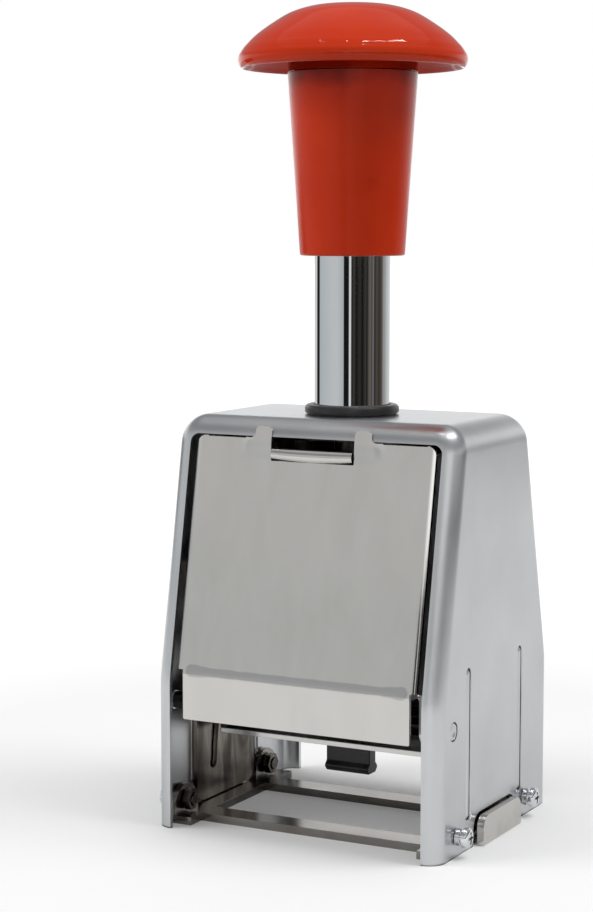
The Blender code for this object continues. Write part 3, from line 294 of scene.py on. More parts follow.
def new_finish(name, **fixed):
    """A Principled material with its fixed values, and the Finish that lays out its nodes."""
    material = bpy.data.materials.new(name)
    material.use_nodes = True
    finish = Finish(material.node_tree)
    finish.material = material
    finish.shader = material.node_tree.nodes["Principled BSDF"]
    finish.fill(finish.shader, {key.replace("_", " "): value for key, value in fixed.items()})
    return finish


def place_on(finish, stretch=(1, 1, 1)):
    """The piece's own coordinates in metres, stretched along each axis."""
    where = finish.node("ShaderNodeTexCoord", output="Object")
    return finish.node("ShaderNodeMapping", {}, {"Vector": where, "Scale": stretch})


def speckle(finish, scale, detail=3.0, stretch=(1, 1, 1), distortion=0.0):
    """Noise from 0 to 1 with scale marks to a metre."""
    sockets = {"Scale": scale, "Detail": detail, "Distortion": distortion}
    sockets["Vector"] = place_on(finish, stretch)
    return finish.node("ShaderNodeTexNoise", {}, sockets, "Fac")


def ramp(finish, value, stops):
    """A value turned into a colour by stops of (place, grey or colour)."""
    full = [(place, (shade,) * 3 + (1,) if np.isscalar(shade) else (*shade, 1)) for place, shade in stops]
    return finish.node("ShaderNodeValToRGB", {"stops": full}, {"Fac": value}, "Color")


def coated(finish, colour, rough, bumps):
    """The material, once its colour and roughness are in and its bumps are laid over each other.

    A bump is a height map, its strength, and its depth in metres."""
    normal = None
    for height, strength, depth in bumps:
        sockets = {"Height": height, "Strength": strength, "Distance": depth}
        if normal:
            sockets["Normal"] = normal
        normal = finish.node("ShaderNodeBump", {}, sockets, "Normal")
    finish.fill(finish.shader, {"Base Color": colour, "Roughness": rough, "Normal": normal})
    return finish.material


def step_between(value, start, end):
    """0 where a shader value is before start and 1 after end."""
    share = (value - start) * (1 / (end - start))
    return share.larger(0.0).smaller(1.0)


def place_axes(finish):
    """How far right, back and up a point is, in the object's own metres."""
    where = finish.node("ShaderNodeTexCoord", output="Object")
    split = finish.node("ShaderNodeSeparateXYZ", {}, {"Vector": where}).link.node
    return [Socket(finish, split.outputs[axis]) for axis in "XYZ"]


def off_middle(finish):
    """How far a point is from the plane that halves the machine into left and right."""
    return place_axes(finish)[0].distance(0.0)


def line_dirt(finish):
    """1 on the two edges of each pressed line, as painted shade in the creases, and at the very foot, which
    it makes darker, and 0 off them.

    The distance to the line's slot shape is taken from a segment along its middle, as in the mesh."""
    back, up = place_axes(finish)[1:]
    low, high = GROOVE_FOOT + GROOVE_HALF, GROOVE_HEAD - GROOVE_HALF
    beyond = up - up.larger(low).smaller(high)
    darkening = 0.5 - 0.5 * step_between(up, *DARK_FOOT)
    for groove_y in GROOVE_PLACES:
        away = ((back - groove_y) ** 2 + beyond**2) ** 0.5
        edge = 1 - away.distance(GROOVE_HALF + GROOVE_LINE / 2) * (1 / GROOVE_LINE)
        darkening = edge.larger(0.0) + darkening
    return darkening


def satin_nickel(name, dark_within):
    """Nickel over fine blasting: a soft even sheen, faintly cloudy, with hair-thin handling marks.

    Closer to the machine's middle plane than dark_within it is painted black, a painted shade for a part
    that sits inside the wall."""
    finish = new_finish(name, Metallic=1.0)
    cloud = speckle(finish, 55, 4.0)
    grain = speckle(finish, 5200, 2.0)
    marks = speckle(finish, 420, 2.0, (1, 1, 0.06))
    shades = [(0.0, (0.050, 0.047, 0.044)), (0.30, (0.595, 0.610, 0.622)), (0.68, (0.675, 0.690, 0.703))]
    # Painted shade: black near the middle plane, where a pin sits inside the wall.
    painted_inner_shade = 1 - step_between(off_middle(finish), dark_within - INNER_SHADE_FADE, dark_within)
    # Painted shade in the pressed lines, and a darker foot, are taken off the colour here.
    colour = ramp(finish, cloud - 0.85 * line_dirt(finish) - painted_inner_shade, shades)
    rough = 0.25 + 0.10 * cloud + 0.05 * marks
    return coated(finish, colour, rough, [(grain, 0.10, 0.00004), (marks, 0.02, 0.00004)])


def runs(stops, counts):
    """Numbers from the first stop to the last, with so many evenly spaced from each stop to the next."""
    spans = zip(stops, stops[1:], counts)
    parts = [np.linspace(low, high, count)[:-1] for low, high, count in spans]
    return np.append(np.concatenate(parts), stops[-1])


def shell_path():
    """The bent strip from the left foot over the top to the right foot: its place and inward direction.

    Both walls go straight up, the shoulders are quarter circles, and the top is flat."""
    straight = SHELL_HEIGHT - SHELL_SHOULDER
    margin = GROOVE_MARGIN
    stops = [0, GROOVE_FOOT + margin, GROOVE_HEAD - margin, GROOVE_HEAD + margin, straight]
    wall = runs(stops, (24, 24, 16, 30))[:-1]
    half = SHELL_WIDTH / 2
    inner = half - SHELL_SHOULDER
    turn = np.linspace(0, math.pi / 2, ROLL_STEPS + 1)
    top = np.linspace(inner, 0, 20)[1:]
    x = np.concatenate([np.full(len(wall), half), inner + SHELL_SHOULDER * np.cos(turn), top])
    z = np.concatenate([wall, straight + SHELL_SHOULDER * np.sin(turn), np.full(len(top), SHELL_HEIGHT)])
    in_x = np.concatenate([np.full(len(wall), -1.0), -np.cos(turn), np.zeros(len(top))])
    in_z = np.concatenate([np.zeros(len(wall)), -np.sin(turn), np.full(len(top), -1.0)])
    parts = ((x, -1), (z, 1), (in_x, -1), (in_z, 1))
    return [np.concatenate([part, mirror * part[-2::-1]]) for part, mirror in parts]


def shell_face(depth):
    """One face of the strip, at a depth inside its outer face: a grid along the strip and across it.

    Across, it runs round the front edge's quarter circle, straight to the rear edge, and round that."""
    x, z, in_x, in_z = (part[:, None] for part in shell_path())
    turn = np.linspace(0, math.pi / 2, ROLL_STEPS + 1)
    turn = np.concatenate([turn, turn[::-1]])
    radius = SHELL_EDGE - depth
    sink = SHELL_EDGE - radius * np.sin(turn)
    back = SHELL_EDGE - radius * np.cos(turn)
    side = np.repeat([-1, 1], ROLL_STEPS + 1)
    height = z + in_z * sink
    edges = np.where(side < 0, rim(-1, height) + back, rim(1, height) - back)
    share = shell_columns()[None, 1:-1]
    front, rear = edges[:, ROLL_STEPS, None], edges[:, ROLL_STEPS + 1, None]
    flat = front + (rear - front) * share
    y = np.concatenate([edges[:, : ROLL_STEPS + 1], flat, edges[:, ROLL_STEPS + 1 :]], axis=1)
    level = np.full((1, share.shape[1]), depth)
    sink = np.concatenate([sink[None, : ROLL_STEPS + 1], level, sink[None, ROLL_STEPS + 1 :]], axis=1)
    sink = sink + groove(y, z) * (np.abs(in_x) == 1)
    return grid_of(x + in_x * sink, y, z + in_z * sink)


def shell_columns():
    """Shares of the way from the front edge to the rear one, closer together over the pressed lines."""
    reach = SHELL_DEPTH - 2 * SHELL_EDGE
    places = [np.linspace(0, 1, 41)]
    for groove_y in GROOVE_PLACES:
        middle = (groove_y + reach / 2) / reach
        places.append(np.linspace(middle - GROOVE_SHARE, middle + GROOVE_SHARE, 25))
    return np.unique(np.round(np.concatenate(places), 4))


def groove(y, z):
    """How deep the pressed lines are: two narrow troughs round a slot shape, each a bell curve.

    The distance to the slot shape's outline is taken from a line segment along its middle."""
    depth = 0
    for groove_y in GROOVE_PLACES:
        beyond = np.clip(z, GROOVE_FOOT + GROOVE_HALF, GROOVE_HEAD - GROOVE_HALF)
        away = np.hypot(y - groove_y, z - beyond)
        depth = depth + GROOVE_DEPTH * np.exp(-(((away - GROOVE_HALF) / GROOVE_LINE) ** 2))
    return depth


FLAP_FRONT_Y = -0.0114
FLAP_REAR_Y = 0.0096
ARCH_GAP = 0.0011
ARCH_TOP = 0.0069
ARCH_ROUND = 0.0037
SCREW_PLACES = ((-0.0216, 0.0045), (0.0156, 0.0045))
SCREW_HOLE = 0.0015
PIN_PLACE = (-0.0232, 0.0272)
PIN_HOLE = 0.0021
PLUNGER_Y = -0.0024
PLUNGER_LINE = (0, PLUNGER_Y, 0)
TOP_HOLE = 0.0097
OVERRUN = 0.002
CUT_REACH = SHELL_WIDTH / 2 + OVERRUN


def drill(place, radius, axis="X", low=-CUT_REACH, high=CUT_REACH, steps=40):
    """A round cutter along an axis through a place, from low to high."""
    return pressed("drill", [turned(rectangle((0, low), (radius, high)), axis, place, steps)])


def shell_tools():
    """Cutters for the arches over the flaps, the screw and pin holes, and the hole in the top."""
    low = (FLAP_FRONT_Y - ARCH_GAP, -OVERRUN)
    high = (FLAP_REAR_Y + ARCH_GAP, ARCH_TOP)
    arch = filleted(rectangle(low, high), [0, 0, ARCH_ROUND, ARCH_ROUND], 10)
    tools = [pressed("arch_tool", [drawn(arch, "X", -CUT_REACH, CUT_REACH)], capped=True)]
    tools += [drill((0, *place), SCREW_HOLE) for place in SCREW_PLACES]
    tools += [drill((0, *PIN_PLACE), PIN_HOLE)]
    top = (SHELL_HEIGHT - 2 * OVERRUN, SHELL_HEIGHT + OVERRUN)
    return tools + [drill(PLUNGER_LINE, TOP_HOLE, "Z", *top, 96)]


def fit(piece, material, slot, body, *nodes):
    """Shades a finished piece smooth with its large faces kept flat, and dresses it.

    It then rides with its body, in place of its nodes."""
    piece.data.materials.clear()
    piece.data.materials.append(material)
    piece.data.shade_smooth()
    piece.data.set_sharp_from_angle(angle=SMOOTH_ANGLE)
    flat_first = piece.modifiers.new("flat_first", "WEIGHTED_NORMAL")
    flat_first.keep_sharp = True
    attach(piece, body)
    if nodes:
        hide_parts(*nodes)
    return piece


satin = satin_nickel("satin_nickel", 0.0)
shell = pressed("shell", walled(shell_face(0), shell_face(SHELL_WALL)))
fit(worked(shell, shell_tools()), satin, "satin_nickel", "housing", "housing_shell")

# Front cover
# A door of thin polished sheet closes the front. A bead is pressed across it, two tongues at its head
# snap over the shell's edge, and a finger lip is curled out under the window between them.
GAP = 0.0003
COVER_SHEET = 0.0008
COVER_FOOT = 0.0248
COVER_TOP = 0.08655
COVER_HALF = 0.0287
COVER_LOWER_HALF = 0.0273
COVER_STEP = 0.0358
COVER_ROUNDS = [0.0004, 0.0002, 0.0002, 0.002]
COVER_CROWN = 0.00012
COVER_BEND = 0.0012
COVER_BEND_DEPTH = 0.00035
STRIP_PLACE = -0.0304
STRIP_START = 0.0342
STRIP_BEND = 0.0350
BEAD_PLACE = 0.0357
BEAD_END = 0.0265
BEAD_WIDTH = 0.0008
BEAD_END_WIDTH = 0.0012
BEAD_HEIGHT = 0.00006
BEAD_FLARE = 0.006
BEAD_FLARE_END = 0.001
BEAD_MARGIN = 0.003
BEAD_MASK_EDGE = (-0.0003, 0.0004)
BEAD_MASK_BACK = (-0.029, -0.028)
CROWN_PLACE = 0.060
CROWN_REACH = 0.035
TAB_INNER = 0.010
TAB_OUTER = 0.014
TAB_TIP = 0.0891
TAB_RAMP = 0.005
TAB_STEP = 0.0006
TAB_REAR_RAMP = 0.0007
TAB_REAR_STEP = 0.00115
TAB_ROUNDS = [0.0012, 0.0011, 0.0011, 0.0003]
TAB_BLEND = 0.004
WINDOW_HALF = 0.0094
WINDOW_FOOT = 0.0817
WINDOW_EASE = 0.0012
SLIT_PLACES = ((-0.026, -0.0165), (0.0165, 0.0268))
SLIT_DEPTH = 0.0002
SLIT_ROUND = 0.0002
LIP_HALF = 0.0097
LIP_TOP = 0.0845
LIP_RADIUS = 0.00145
LIP_SHEET = 0.0005
LIP_TURN = (-8, 196)
FLANGE_OUT = 0.0287
FLANGE_IN = 0.0279
FLANGE_DEPTH = 0.005
FLANGE_THROAT = 0.0008
EAR_RADIUS = 0.0034
EAR_ELBOW = 0.0417
EAR_TURN = (30, -180)
SIDES = ((-1, "left"), (1, "right"))


def bead_haze(finish):
    """1 along the front cover's bead and 0 off it, on the same shape as in the mesh. There the bead is
    duller and its colour darker, a painted shade.
    """
    aside = off_middle(finish)
    back, up = place_axes(finish)[1:]
    flare = step_between(aside, BEAD_END - BEAD_FLARE, BEAD_END - BEAD_FLARE_END)
    width = BEAD_WIDTH + (BEAD_END_WIDTH - BEAD_WIDTH) * flare
    beyond = (aside - BEAD_END + BEAD_END_WIDTH).larger(0.0)
    off = ((up - BEAD_PLACE) ** 2 + beyond**2) ** 0.5 - width
    return (1 - step_between(off, *BEAD_MASK_EDGE)) * (1 - step_between(back, *BEAD_MASK_BACK))


def polished_nickel():
    """Buffed nickel: nearly a mirror, with a slow waviness, a warm tint, and thin wiping marks.

    The bead is duller than the sheet round it, and its colour is darkened as painted shade."""
    finish = new_finish("polished_nickel", Metallic=1.0)
    wave = speckle(finish, 38, 2.0)
    smear = speckle(finish, 150, 5.0, (1, 1, 0.35), 0.6)
    hair = speckle(finish, 900, 2.0, (1, 1, 0.05))
    bead_dull_and_shaded = bead_haze(finish)
    shades = [(0.0, (0.470, 0.468, 0.464)), (0.30, (0.640, 0.628, 0.605)), (0.70, (0.678, 0.668, 0.645))]
    # Painted shade: the bead's colour is darkened.
    colour = ramp(finish, smear - bead_dull_and_shaded, shades)
    rough = 0.07 + 0.09 * smear + 0.03 * hair + 0.12 * bead_dull_and_shaded
    return coated(finish, colour, rough, [(wave, 0.10, 0.0006), (hair, 0.03, 0.00003)])


def soft_step(value, start, end):
    """0 before start and 1 after end, with 3t^2 - 2t^3 between them."""
    share = np.clip((value - start) / (end - start), 0, 1)
    return share * share * (3 - 2 * share)


def cover_face(side, depth):
    """One face of a cover, as a grid across and up it.

    It follows the shell's edge and bends back at its sides. The front one is upright below the bead, which
    is a bell curve across its own line, wider at its ends, and the tongues step forward near the head."""
    bent = np.linspace(COVER_HALF - COVER_BEND, COVER_HALF, 13)
    flat = np.linspace(COVER_BEND - COVER_HALF, COVER_HALF - COVER_BEND, 221)[1:-1]
    x = np.concatenate([-bent[::-1], flat, bent])[None]
    stops = [COVER_FOOT, BEAD_PLACE - BEAD_MARGIN, BEAD_PLACE + BEAD_MARGIN, COVER_TOP - TAB_RAMP, TAB_TIP]
    z = runs(stops, (14, 41, 40, 50))[:, None]
    aside = np.abs(x)
    flare = soft_step(aside, BEAD_END - BEAD_FLARE, BEAD_END - BEAD_FLARE_END)
    width = BEAD_WIDTH + (BEAD_END_WIDTH - BEAD_WIDTH) * flare
    beyond = np.maximum(aside - BEAD_END + BEAD_END_WIDTH, 0)
    bead = BEAD_HEIGHT * np.exp(-((z - BEAD_PLACE) ** 2 + beyond**2) / width**2)
    rear_face = depth > 0
    step = TAB_REAR_STEP if rear_face else TAB_STEP
    start = COVER_TOP - (TAB_REAR_RAMP if rear_face else TAB_RAMP)
    inside = soft_step(aside, WINDOW_HALF - WINDOW_EASE, WINDOW_HALF)
    inside = inside * (1 - soft_step(aside, TAB_OUTER, TAB_OUTER + TAB_BLEND))
    tongue = step * inside * soft_step(z, start, COVER_TOP)
    arc = (1 - ((z - CROWN_PLACE) / CROWN_REACH) ** 2).clip(0)
    crown = COVER_CROWN * (1 - (x / COVER_HALF) ** 2) * arc
    bend = COVER_BEND_DEPTH * ((aside - COVER_HALF + COVER_BEND).clip(0) / COVER_BEND) ** 2
    proud = (bead + tongue) * (side < 0) + crown - bend
    y = rim(side, z)
    if side < 0:
        below = 1 - soft_step(z, STRIP_START, STRIP_BEND)
        y = y + (STRIP_PLACE - y) * below
    return grid_of(x, y - side * (GAP + depth - proud), z)


def mirrored(half):
    """An outline from its right half, listed from the foot up."""
    half = np.asarray(half, float)
    return np.concatenate([half, half[::-1] * (-1, 1)])


def cover_outline(side):
    """A cover from the front: narrow at its foot, with round upper corners. The front one has tongues."""
    narrow, wide = COVER_LOWER_HALF, COVER_HALF
    half = [(narrow, COVER_FOOT), (narrow, COVER_STEP), (wide, COVER_STEP), (wide, COVER_TOP)]
    radii = COVER_ROUNDS
    if side < 0:
        half += [(TAB_OUTER, COVER_TOP), (TAB_OUTER, TAB_TIP)]
        half += [(TAB_INNER, TAB_TIP), (TAB_INNER, WINDOW_FOOT)]
        radii = COVER_ROUNDS + TAB_ROUNDS
    return filleted(mirrored(half), radii + radii[::-1], 6)


def cover_sheet(name, side, cuts):
    """A cover: its curved sheet, kept to its outline, with other outlines cut through it."""
    sheet = pressed(name, walled(cover_face(side, 0), cover_face(side, COVER_SHEET)))
    reach = sorted((0, side * SHELL_DEPTH))
    outlines = [cover_outline(side), *cuts]
    trim, *tools = [pressed("cover_tool", [drawn(line, "Y", *reach)], capped=True) for line in outlines]
    return worked(worked(sheet, [trim], "INTERSECT"), tools)


def lip_grids():
    """The finger lip: a strip rolled forward over most of a half circle at the window's foot.

    Its top is straight. Towards its ends the radius falls by a seventh of (x / half)^2, so its foot is
    slightly bowed."""
    x = np.linspace(-LIP_HALF, LIP_HALF, 61)[:, None]
    angle = np.linspace(*np.radians(LIP_TURN), 25)[None]
    share = x / LIP_HALF
    shrink = 1 - share**2 / 7
    faces = []
    for radius in (LIP_RADIUS, LIP_RADIUS - LIP_SHEET):
        y = rim(-1, LIP_TOP) + GAP - radius * shrink * np.sin(angle)
        z = LIP_TOP - LIP_RADIUS * shrink + radius * shrink * np.cos(angle)
        faces.append(grid_of(x, y, z))
    return walled(*faces)


def flange_outline():
    """A side flange of the cover, which runs down and back to an ear round the hinge pin."""
    top = SHELL_HEIGHT - SHELL_SHOULDER
    sheet = GAP + COVER_SHEET / 2
    heights = np.array([COVER_STEP, top])
    front = np.stack([rim(-1, heights) + sheet, heights], axis=1)
    heights = np.array([top, EAR_ELBOW])
    rear = np.stack([rim(-1, heights) + sheet + FLANGE_DEPTH, heights], axis=1)
    turn = np.radians(np.linspace(*EAR_TURN, 24))
    ear = np.array(PIN_PLACE) + EAR_RADIUS * np.stack([np.cos(turn), np.sin(turn)], axis=1)
    throat = (PIN_PLACE[0] - EAR_RADIUS, COVER_STEP - FLANGE_THROAT)
    return np.concatenate([front, rear, ear, [throat]])


def cover_flange(name, side, outline):
    """A cover's flange at one side: an outline as seen from the side, as thick as the sheet."""
    edges = sorted((side * FLANGE_IN, side * FLANGE_OUT))
    return pressed(name, [drawn(outline, "X", *edges)], capped=True)


polished = polished_nickel()
slit_span = (COVER_TOP - SLIT_DEPTH, COVER_TOP + OVERRUN)
slits = [filleted(rectangle(*zip(place, slit_span)), SLIT_ROUND, 4) for place in SLIT_PLACES]
cover = cover_sheet("cover_sheet", -1, slits)
fit(cover, polished, "polished_nickel", "front_cover", "front_cover")
lip = pressed("cover_lip", lip_grids())
fit(lip, polished, "polished_nickel", "front_cover")
for side, where in SIDES:
    flange = cover_flange(f"cover_flange_{where}", side, flange_outline())
    fit(worked(flange, [drill((0, *PIN_PLACE), PIN_HOLE)]), satin, "polished_nickel", "front_cover")

# Rear cover
# The back is closed by a second sheet like the first, without bead or tongues. It is fixed, and the ink
# cassette slides out through the slot across it.
SLOT_HALF = 0.026
SLOT_FOOT = 0.047
SLOT_HEAD = 0.0559
SLOT_CORNER = 0.0008


def rear_flange_outline():
    """A side flange of the rear cover: a strip along its edge."""
    heights = np.array([COVER_STEP, SHELL_HEIGHT - SHELL_SHOULDER])
    outer = rim(1, heights) - GAP - COVER_SHEET / 2
    front = np.stack([outer, heights], axis=1)
    return np.concatenate([front, front[::-1] - (FLANGE_DEPTH, 0)])


slot_outline = filleted(rectangle((-SLOT_HALF, SLOT_FOOT), (SLOT_HALF, SLOT_HEAD)), SLOT_CORNER)
rear = cover_sheet("rear_sheet", 1, [slot_outline])
fit(rear, polished, "polished_nickel", "housing", "rear_cover")
for side, where in SIDES:
    flange = cover_flange(f"rear_flange_{where}", side, rear_flange_outline())
    fit(flange, polished, "polished_nickel", "housing")

# Cover pins
# The front cover turns on a short plated pin at each side, set through the wall with its dished end just
# below the wall's face.
PIN_RADIUS = 0.0019
PIN_END = 0.0342
PIN_CHAMFER = 0.00025
PIN_BULGE = 0.00006
PIN_SHADE_REACH = 0.0332
DISH_RADIUS = 0.00125
DISH_DEPTH = 0.0002
DISH_BOW = 0.00012


def bow(start, end, rise, steps=8):
    """Points from start to end along a shallow parabola that stands off the chord by rise at its middle."""
    start, end = np.array(start, float), np.array(end, float)
    share = np.linspace(0, 1, steps)[:, None]
    chord = end - start
    off = np.array([-chord[1], chord[0]]) / np.hypot(*chord)
    return start + chord * share + off * rise * 4 * share * (1 - share)


def pin_outline(side):
    """The pin from its inner end to its dished outer one, as (radius, x)."""
    rounded = bow((PIN_RADIUS, PIN_END - PIN_CHAMFER), (PIN_RADIUS - PIN_CHAMFER, PIN_END), -PIN_BULGE, 5)
    dish = bow((DISH_RADIUS, PIN_END), (0, PIN_END - DISH_DEPTH), DISH_BOW)
    outline = np.concatenate([[(0, FLANGE_IN), (PIN_RADIUS, FLANGE_IN)], rounded, dish])
    return outline * (1, side)


pin_satin = satin_nickel("pin_nickel", PIN_SHADE_REACH)
for side, where in SIDES:
    pin = pressed(f"hinge_pin_{where}", [turned(pin_outline(side), "X", (0, *PIN_PLACE), 48)])
    fit(pin, pin_satin, "chrome_plate", "housing", f"cover_pin_{where}")

# Base frame
# A polished steel frame closes the foot. Its rails cross front and rear, its ears take the screws, and
# a rounded flap stands up outside each wall in front of the arch.
FRAME_EDGE = 0.00045
SOFT_EDGE = 0.00012
FLAT_ANGLE = math.radians(1.5)
FLAP_PLACE = (0.0340, 0.0345)


def softened(node, material, slot, body, edge=SOFT_EDGE):
    """A CAD piece with its triangles merged into flat faces and its sharp edges rounded over.

    Every edge that turns by more than the smooth angle is cut back by a small width, in two steps."""
    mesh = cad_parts[node].data.copy()
    shape = bmesh.new()
    shape.from_mesh(mesh)
    bmesh.ops.remove_doubles(shape, verts=shape.verts, dist=WELD)
    bmesh.ops.dissolve_limit(shape, angle_limit=FLAT_ANGLE, verts=shape.verts, edges=shape.edges)
    sharp = [line for line in shape.edges if line.calc_face_angle(0) > SMOOTH_ANGLE]
    settings = {"offset_type": "OFFSET", "segments": 2, "profile": 0.5, "affect": "EDGES"}
    bmesh.ops.bevel(shape, geom=sharp, offset=edge, clamp_overlap=True, **settings)
    shape.to_mesh(mesh)
    shape.free()
    return fit(in_scene(f"{node}_finished", mesh), material, slot, body, node)


def frame_steel():
    """Plated steel with a warm satin sheen, scuffed along the rails. Its colour is dim within the walls, a
    painted shade, and lighter on the flaps past them, a painted light.
    """
    finish = new_finish("frame_steel", Metallic=1.0)
    cloud = speckle(finish, 70, 4.0)
    scuff = speckle(finish, 380, 5.0, (0.2, 1, 1), 0.8)
    painted_light_on_flaps = step_between(off_middle(finish), *FLAP_PLACE)
    shades = [(0.30, (0.270, 0.250, 0.228)), (0.65, (0.390, 0.376, 0.355)), (1.0, (0.640, 0.618, 0.590))]
    # Painted light: the flaps past the walls are lifted lighter than the frame within, which stays dim as
    # painted shade.
    colour = ramp(finish, cloud + 0.50 * painted_light_on_flaps, shades)
    rough = 0.10 + 0.10 * cloud + 0.08 * scuff
    return coated(finish, colour, rough, [(cloud, 0.08, 0.0004), (scuff, 0.10, 0.00004)])


softened("base_frame", frame_steel(), "polished_nickel", "housing", FRAME_EDGE)

# Base screws
# Four plated shouldered screws hold the frame: a collar against the wall, a short neck and a domed head,
# with a cross recess, and a hexagon nut behind each ear, dark as painted shade.
SCREW_RADIUS = 0.0013
SCREW_START = 0.0294
SCREW_SEAT = 0.0346
COLLAR_RADIUS = 0.0019
COLLAR_THICK = 0.0012
NECK_RADIUS = 0.0013
NECK_THICK = 0.0004
HEAD_RADIUS = 0.0022
HEAD_THICK = 0.0016
HEAD_RISE = 0.0007
HEAD_POWER = 0.8
SCREW_TOP = SCREW_SEAT + COLLAR_THICK + NECK_THICK + HEAD_THICK
DRIVE_HALF = 0.0003
DRIVE_REACH = 0.0013
DRIVE_DEPTH = 0.0006
SCREW_SHADE_SPAN = (0.0260, 0.0334)


def screw_outline(side):
    """The screw from its inner end to its head, as (radius, x), with every shoulder broken.

    The head's dome is radius * cos(turn)^power outward and rise * sin(turn) up."""
    collar = SCREW_SEAT + COLLAR_THICK
    neck = collar + NECK_THICK
    shoulder = SCREW_TOP - HEAD_RISE
    edge = SOFT_EDGE
    points = [(0, SCREW_START), (SCREW_RADIUS - edge, SCREW_START), (SCREW_RADIUS, SCREW_START + edge)]
    points += [(SCREW_RADIUS, SCREW_SEAT), (COLLAR_RADIUS - edge, SCREW_SEAT)]
    points += [(COLLAR_RADIUS, SCREW_SEAT + edge), (COLLAR_RADIUS, collar - edge)]
    points += [(COLLAR_RADIUS - edge, collar), (NECK_RADIUS, collar), (NECK_RADIUS, neck)]
    points += [(HEAD_RADIUS - edge, neck), (HEAD_RADIUS, neck + edge), (HEAD_RADIUS, shoulder)]
    turn = np.linspace(0, math.pi / 2, 9)[1:]
    dome = [HEAD_RADIUS * np.cos(turn) ** HEAD_POWER, shoulder + HEAD_RISE * np.sin(turn)]
    return np.concatenate([points, np.stack(dome, axis=1)]) * (1, side)


def chrome_plate():
    """Bright chrome over polished steel: a cool mirror with the faintest smudges and wiping marks.

    On the screws' inner ends, level with the nuts, it is painted black, a painted shade inside the walls."""
    finish = new_finish("chrome_plate", Metallic=1.0)
    smudge = speckle(finish, 120, 4.0, (1, 1, 0.4), 0.4)
    hair = speckle(finish, 1500, 1.0, (1, 1, 0.04))
    aside = off_middle(finish)
    start, end = SCREW_SHADE_SPAN
    # Painted shade: black on the screws' inner ends, inside the walls.
    painted_inner_shade = step_between(aside, start, start + INNER_SHADE_FADE) - step_between(aside, end - INNER_SHADE_FADE, end)
    shades = [(0.0, (0.110, 0.100, 0.090)), (0.35, (0.775, 0.795, 0.815)), (0.65, (0.825, 0.840, 0.855))]
    colour = ramp(finish, smudge - painted_inner_shade, shades)
    return coated(finish, colour, 0.015 + 0.045 * smudge, [(hair, 0.015, 0.00002)])


def oiled_steel():
    """Dark rolled steel under old oil: brown streaks run down it between paler rubbed patches. The streaked
    colour is partly painted reflection, standing in for streaky reflections down the plates.
    """
    finish = new_finish("oiled_steel", Metallic=1.0)
    streak_and_reflection = speckle(finish, 160, 6.0, (1, 1, 0.22), 1.2)
    cloud = speckle(finish, 60, 3.0)
    mark = streak_and_reflection * 0.7 + cloud * 0.3
    stops = [(0.38, (0.028, 0.022, 0.018)), (0.50, (0.110, 0.095, 0.080)), (0.66, (0.340, 0.320, 0.285))]
    # Partly painted reflection: the streaks in the colour stand in for streaky reflections.
    colour = ramp(finish, mark, stops)
    return coated(finish, colour, 0.12 + 0.22 * cloud, [(streak_and_reflection, 0.12, 0.0002)])


chrome = chrome_plate()
oiled = oiled_steel()
for side, where in SIDES:
    edges = sorted((side * (SCREW_TOP - DRIVE_DEPTH), side * (SCREW_TOP + OVERRUN)))
    for place, which in zip(SCREW_PLACES, ("front", "rear")):
        body = turned(screw_outline(side), "X", (0, *place), 48)
        screw = pressed(f"shoulder_screw_{which}_{where}", [body])
        for long, thin in ((DRIVE_REACH, DRIVE_HALF), (DRIVE_HALF, DRIVE_REACH)):
            low, high = (place[0] - long, place[1] - thin), (place[0] + long, place[1] + thin)
            drive = pressed("drive_tool", [drawn(rectangle(low, high), "X", *edges)], capped=True)
            worked(screw, [drive])
        fit(screw, chrome, "chrome_plate", "housing", f"base_screw_{which}_{where}")
        # The nuts take the dark steel as painted shade, where they sit behind the ears.
        softened(f"base_nut_{which}_{where}", oiled, "chrome_plate", "housing")

# Cam plates, bridge and guide post
# Behind each wall a bright-rolled, oiled steel plate has the slot that turns the number unit over. The
# bridge joins the two, carries the cassette's rails, and has the guide post riveted in its middle.
for node in ("cam_plate_left", "cam_plate_right", "pad_bridge", "guide_post"):
    softened(node, oiled, "blackened_steel", "housing")

# Collar bush
# A moulded black bush lines the hole in the top, and its round flange stands on the shell as a collar
# that the tube slides through.
BUSH_BORE = 0.00855
BUSH_SLEEVE = 0.0095
BUSH_FOOT = 0.0876
FLANGE_RADIUS = 0.0104
FLANGE_SEAT = 0.09115
FLANGE_TOP = 0.0931
BUSH_ROUNDS = [0.0001, 0.0001, 0.0001, 0.0004, 0.0009, 0.0003]


def black_plastic():
    """Semi-matt moulded plastic with a fine spark-eroded grain, dusty grey in its high spots."""
    finish = new_finish("black_plastic", Metallic=0.0, IOR=1.5)
    grain = speckle(finish, 4200, 2.0)
    dust = speckle(finish, 260, 5.0)
    colour = ramp(finish, dust, [(0.40, (0.011, 0.010, 0.012)), (0.72, (0.030, 0.029, 0.032))])
    return coated(finish, colour, 0.24 + 0.22 * dust, [(grain, 0.18, 0.00003)])


black = black_plastic()
corners = [(BUSH_BORE, BUSH_FOOT), (BUSH_SLEEVE, BUSH_FOOT), (BUSH_SLEEVE, FLANGE_SEAT)]
corners += [(FLANGE_RADIUS, FLANGE_SEAT), (FLANGE_RADIUS, FLANGE_TOP), (BUSH_BORE, FLANGE_TOP)]
bush = pressed("collar", [turned(filleted(corners, BUSH_ROUNDS, 6), "Z", PLUNGER_LINE, 128)])
fit(bush, black, "black_plastic", "housing", "collar_bush")

